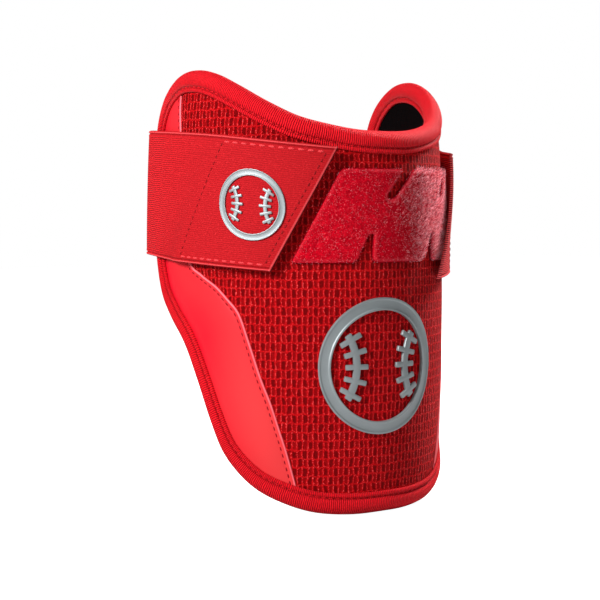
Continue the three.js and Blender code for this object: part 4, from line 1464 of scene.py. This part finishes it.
class GUARD_OT_patches(bpy.types.Operator):
    """Makes the loop patches with their brushed fibres"""

    bl_idname = "guard.patches"
    bl_label = "Loop patches"

    def execute(self, context):
        sizes = context.scene.guard_sizes
        hidden = PATCH_LEFT - PATCH_SPACING
        count = sizes.fibre_count
        for name, node, start, end, slits, fibres in (
            ("loop_pile", "loop_patch", PATCH_LEFT, PATCH_RIGHT, SLITS, count),
            ("loop_pile_hidden", "loop_patch_hidden", hidden - HIDDEN_PATCH_LENGTH, hidden, (), count // 7),
        ):
            self.patch(name, patch_ring(start, end, slits), node, fibres, sizes)
        return {"FINISHED"}

    def patch(self, name, ring, node, fibres, sizes):
        """One patch: a soft-edged pile and the loose fibres on it."""
        inner = np.vstack([ring + reach * to_left(ring, True) for reach in (0.35, 0.8, 1.4)])
        flat, faces = triangulated(ring, PILE_SPACING, inner)
        reach = reach_from(flat, ring, closed=True)
        depths = pile_depth(flat, reach, 0.1 * waves(flat[:, 0] * 5, flat[:, 1] * 5, 11))
        pile = laid_sheet(name, flat, faces, depths, reach)
        dress(pile, finish("brushed_pile"), "loop_pile", node)
        self.fibres(name, ring, fibres, sizes)

    def fibres(self, name, ring, count, sizes):
        """Loose fibres: thin spikes that lean every way, longer towards the right, and paler there as a
        painted rim light.
        """
        draw = np.random.default_rng(21)
        low, high = ring.min(0), ring.max(0)
        at = draw.uniform(low, high, (4 * count, 2))
        at = at[is_inside(at, ring)][:count]
        depth, _ = pile_depth(at, reach_from(at, ring, closed=True))
        nap = at[:, 0] + 0.12 * (at[:, 1] - PATCH_RISE) + 3 * waves(at[:, 0], at[:, 1], 2)
        brushed = smooth(-1, 25, nap)
        long = sizes.fibre_length * 1000 * draw.uniform(0.5, 1.2, len(at)) * (0.55 + 1.0 * brushed)
        turn = draw.uniform(0, 2 * math.pi, len(at))
        combed = brushed > draw.uniform(0, 1, len(at))
        turn = np.where(combed, NAP_TURN + (turn - math.pi) / 4, turn)
        lean = draw.uniform(0.55, 1.0, len(at))
        tip = at + (long * lean)[:, None] * np.c_[np.cos(turn), np.sin(turn)]
        tip_depth = depth - long * np.sqrt(1 - 0.92 * lean**2) * 0.55
        width = (FIBRE_WIDTH[0] + (FIBRE_WIDTH[1] - FIBRE_WIDTH[0]) * brushed)[:, None]
        sideways = np.c_[-np.sin(turn), np.cos(turn)] * width
        ahead = np.c_[np.cos(turn), np.sin(turn)] * width
        roots = [at + sideways, at - sideways, at - ahead]
        points = np.stack(
            [on_guard(p[:, 0], p[:, 1], depth + 0.1) for p in roots]
            + [on_guard(tip[:, 0], tip[:, 1], tip_depth)],
            axis=1,
        )
        # Pale tints, more of them towards the right: partly random, partly a painted rim light.
        pale = draw.uniform(0, 1, len(at))
        tint = 0.35 * pale + 0.65 * smooth(0.62 - 0.6 * brushed, 1.05 - 0.45 * brushed, pale)
        pattern = np.repeat(np.c_[at, tint][:, None], 4, axis=1)
        first = 4 * np.arange(len(at))[:, None]
        faces = np.vstack([first + (0, 1, 3), first + (1, 2, 3), first + (2, 0, 3), first + (0, 2, 1)])
        made = make_object(f"{name}_fibres", points.reshape(-1, 3), faces, pattern.reshape(-1, 3))
        recalculate(made)
        dress(made, finish("pile_fibres"), "loop_pile")


class GUARD_OT_badges(bpy.types.Operator):
    """Models the raised ball badges on the front and on the tab"""

    bl_idname = "guard.badges"
    bl_label = "Ball badges"

    def execute(self, context):
        middle = np.array([[BADGE_WRAP, BADGE_RISE]])
        base = float(mesh_depth(middle)[0]) + 0.1

        def on_front(flat):
            return on_guard(BADGE_WRAP + flat[:, 0], BADGE_RISE + flat[:, 1], base - flat[:, 2])

        def on_tab(flat):
            length = STRAP_LENGTH - TAB_BADGE_BACK + flat[:, 0] - TAB_SLANT * flat[:, 1] / TAB_WIDTH
            return on_strap(length, 0.5 + flat[:, 1] / TAB_WIDTH, STRAP_THICKNESS - 0.05 + flat[:, 2])

        for prefix, size, place in (
            ("badge", (BADGE_DIAMETER, BADGE_STROKE, BADGE_THICKNESS), on_front),
            ("tab_badge", (TAB_BADGE_DIAMETER, TAB_BADGE_STROKE, TAB_BADGE_THICKNESS), on_tab),
        ):
            ring = self.ring(f"{prefix}_rim", *size)
            self.settle(ring, place, f"{prefix}_ring")
            for side, word in ((-1, "left"), (1, "right")):
                seam = self.seam(f"{prefix}_lace_{word}", *size, side)
                self.settle(seam, place, f"{prefix}_seam_{word}")
        return {"FINISHED"}

    def settle(self, piece, place, node):
        """Lays a flat badge piece, modelled in millimetres, on what carries it."""
        flat = np.empty(len(piece.data.vertices) * 3)
        piece.data.vertices.foreach_get("co", flat)
        piece.data.vertices.foreach_set("co", place(flat.reshape(-1, 3)).ravel())
        piece.data.update()
        select_only(piece)
        bpy.ops.object.shade_smooth_by_angle(angle=math.radians(35))
        dress(piece, finish("badge_silver"), "badge", node)

    def ring(self, name, diameter, stroke, thickness):
        """A flat ring with softly bevelled rims."""
        bpy.ops.object.select_all(action="DESELECT")
        bpy.ops.mesh.primitive_circle_add(vertices=120, radius=diameter / 2, fill_type="NOTHING")
        piece = bpy.context.object
        piece.name = name
        inner = (diameter / 2 - stroke) / (diameter / 2)
        with editing():
            bpy.ops.mesh.extrude_edges_move()
            bpy.ops.transform.resize(value=(inner, inner, 1.0))
            bpy.ops.mesh.select_all(action="SELECT")
            bpy.ops.mesh.extrude_region_move(TRANSFORM_OT_translate={"value": (0.0, 0.0, thickness)})
            bpy.ops.mesh.select_all(action="SELECT")
            bpy.ops.mesh.normals_make_consistent(inside=False)
        self.bead(piece, BEAD_WIDTH * stroke)
        soften_rims(piece, SOFT_RIM * thickness)
        return piece

    def bead(self, piece, width):
        """Lowers the top face within its rim, so that a narrow bead stays round it."""
        select_only(piece)
        top = max(vertex.co.z for vertex in piece.data.vertices)
        bpy.ops.object.mode_set(mode="EDIT")
        bpy.ops.mesh.select_mode(type="FACE")
        bpy.ops.mesh.select_all(action="DESELECT")
        bpy.ops.object.mode_set(mode="OBJECT")
        for face in piece.data.polygons:
            face.select = face.center.z > top - 1e-3
        bpy.ops.object.mode_set(mode="EDIT")
        bpy.ops.mesh.inset(thickness=width)
        bpy.ops.mesh.inset(thickness=0.5 * width, depth=-0.5 * width)
        bpy.ops.object.mode_set(mode="OBJECT")

    def seam(self, name, diameter, stroke, thickness, side):
        """One seam of the ball: a bowed band with short stitches across it."""
        radius, centre = SEAM_RADIUS * diameter, -SEAM_CENTRE * diameter * side
        start = 0.0 if side > 0 else math.pi
        bpy.ops.object.select_all(action="DESELECT")
        bpy.ops.mesh.primitive_plane_add(size=1.0)
        piece = bpy.context.object
        piece.name = name
        first = start - SEAM_ARC
        for vertex in piece.data.vertices:
            away = radius + SEAM_WIDTH / 2 * stroke * (1 if vertex.co.x > 0 else -1)
            up = thickness * 0.9 if vertex.co.y > 0 else 0.0
            vertex.co = (centre + away * math.cos(first), away * math.sin(first), up)
        with editing():
            bpy.ops.mesh.spin(steps=30, angle=-2 * SEAM_ARC, center=(centre, 0.0, 0.0), axis=(0.0, 0.0, 1.0))
            bpy.ops.mesh.select_all(action="SELECT")
            bpy.ops.mesh.remove_doubles(threshold=1e-4)
            bpy.ops.mesh.normals_make_consistent(inside=False)
        parts = [piece]
        for k in range(STITCH_COUNT):
            angle = start + SEAM_ARC * SEAM_FILL * (2 * k / (STITCH_COUNT - 1) - 1)
            bpy.ops.object.select_all(action="DESELECT")
            bpy.ops.mesh.primitive_cube_add(
                size=1.0,
                location=(centre + radius * math.cos(angle), radius * math.sin(angle), thickness / 2),
                rotation=(0.0, 0.0, angle),
                scale=(stroke * BAR_LENGTH, stroke * BAR_WIDTH, thickness),
            )
            bpy.ops.object.transform_apply(location=True, rotation=True, scale=True)
            parts.append(bpy.context.object)
        width = SOFT_BAR * min(thickness, stroke * BAR_WIDTH)
        for part in parts:
            soften_rims(part, width)
        bpy.ops.object.select_all(action="DESELECT")
        for part in parts:
            part.select_set(True)
        bpy.context.view_layer.objects.active = piece
        bpy.ops.object.join()
        return piece


class GUARD_PT_panel(bpy.types.Panel):
    """Lists the steps that dress the guard"""

    bl_idname = "GUARD_PT_panel"
    bl_label = "Elbow guard"
    bl_space_type = "VIEW_3D"
    bl_region_type = "UI"
    bl_category = "Elbow Guard"

    def draw(self, context):
        for step in STEPS:
            self.layout.operator(step.bl_idname)
        for group in (context.scene.guard_sizes, context.scene.guard_look):
            for name in group.__annotations__:
                self.layout.prop(group, name)


class Settings:
    """Both groups of settings, read as one."""

    def __init__(self, *groups):
        self.groups = groups

    def __getattr__(self, name):
        return next(getattr(g, name) for g in self.groups if hasattr(g, name))


STEPS = (
    GUARD_OT_stage,
    GUARD_OT_lining,
    GUARD_OT_panels,
    GUARD_OT_binding,
    GUARD_OT_strap,
    GUARD_OT_patches,
    GUARD_OT_badges,
)
CLASSES = (GuardSizes, GuardLook, *STEPS, GUARD_PT_panel)


def register():
    for each in CLASSES:
        bpy.utils.register_class(each)
    bpy.types.Scene.guard_sizes = bpy.props.PointerProperty(type=GuardSizes)
    bpy.types.Scene.guard_look = bpy.props.PointerProperty(type=GuardLook)


def unregister():
    del bpy.types.Scene.guard_look
    del bpy.types.Scene.guard_sizes
    for each in reversed(CLASSES):
        bpy.utils.unregister_class(each)


def main():
    register()
    bpy.ops.guard.stage()
    bpy.ops.guard.lining()
    bpy.ops.guard.panels()
    bpy.ops.guard.binding()
    bpy.ops.guard.strap()
    bpy.ops.guard.patches()
    bpy.ops.guard.badges()


if __name__ == "__main__":
    main()
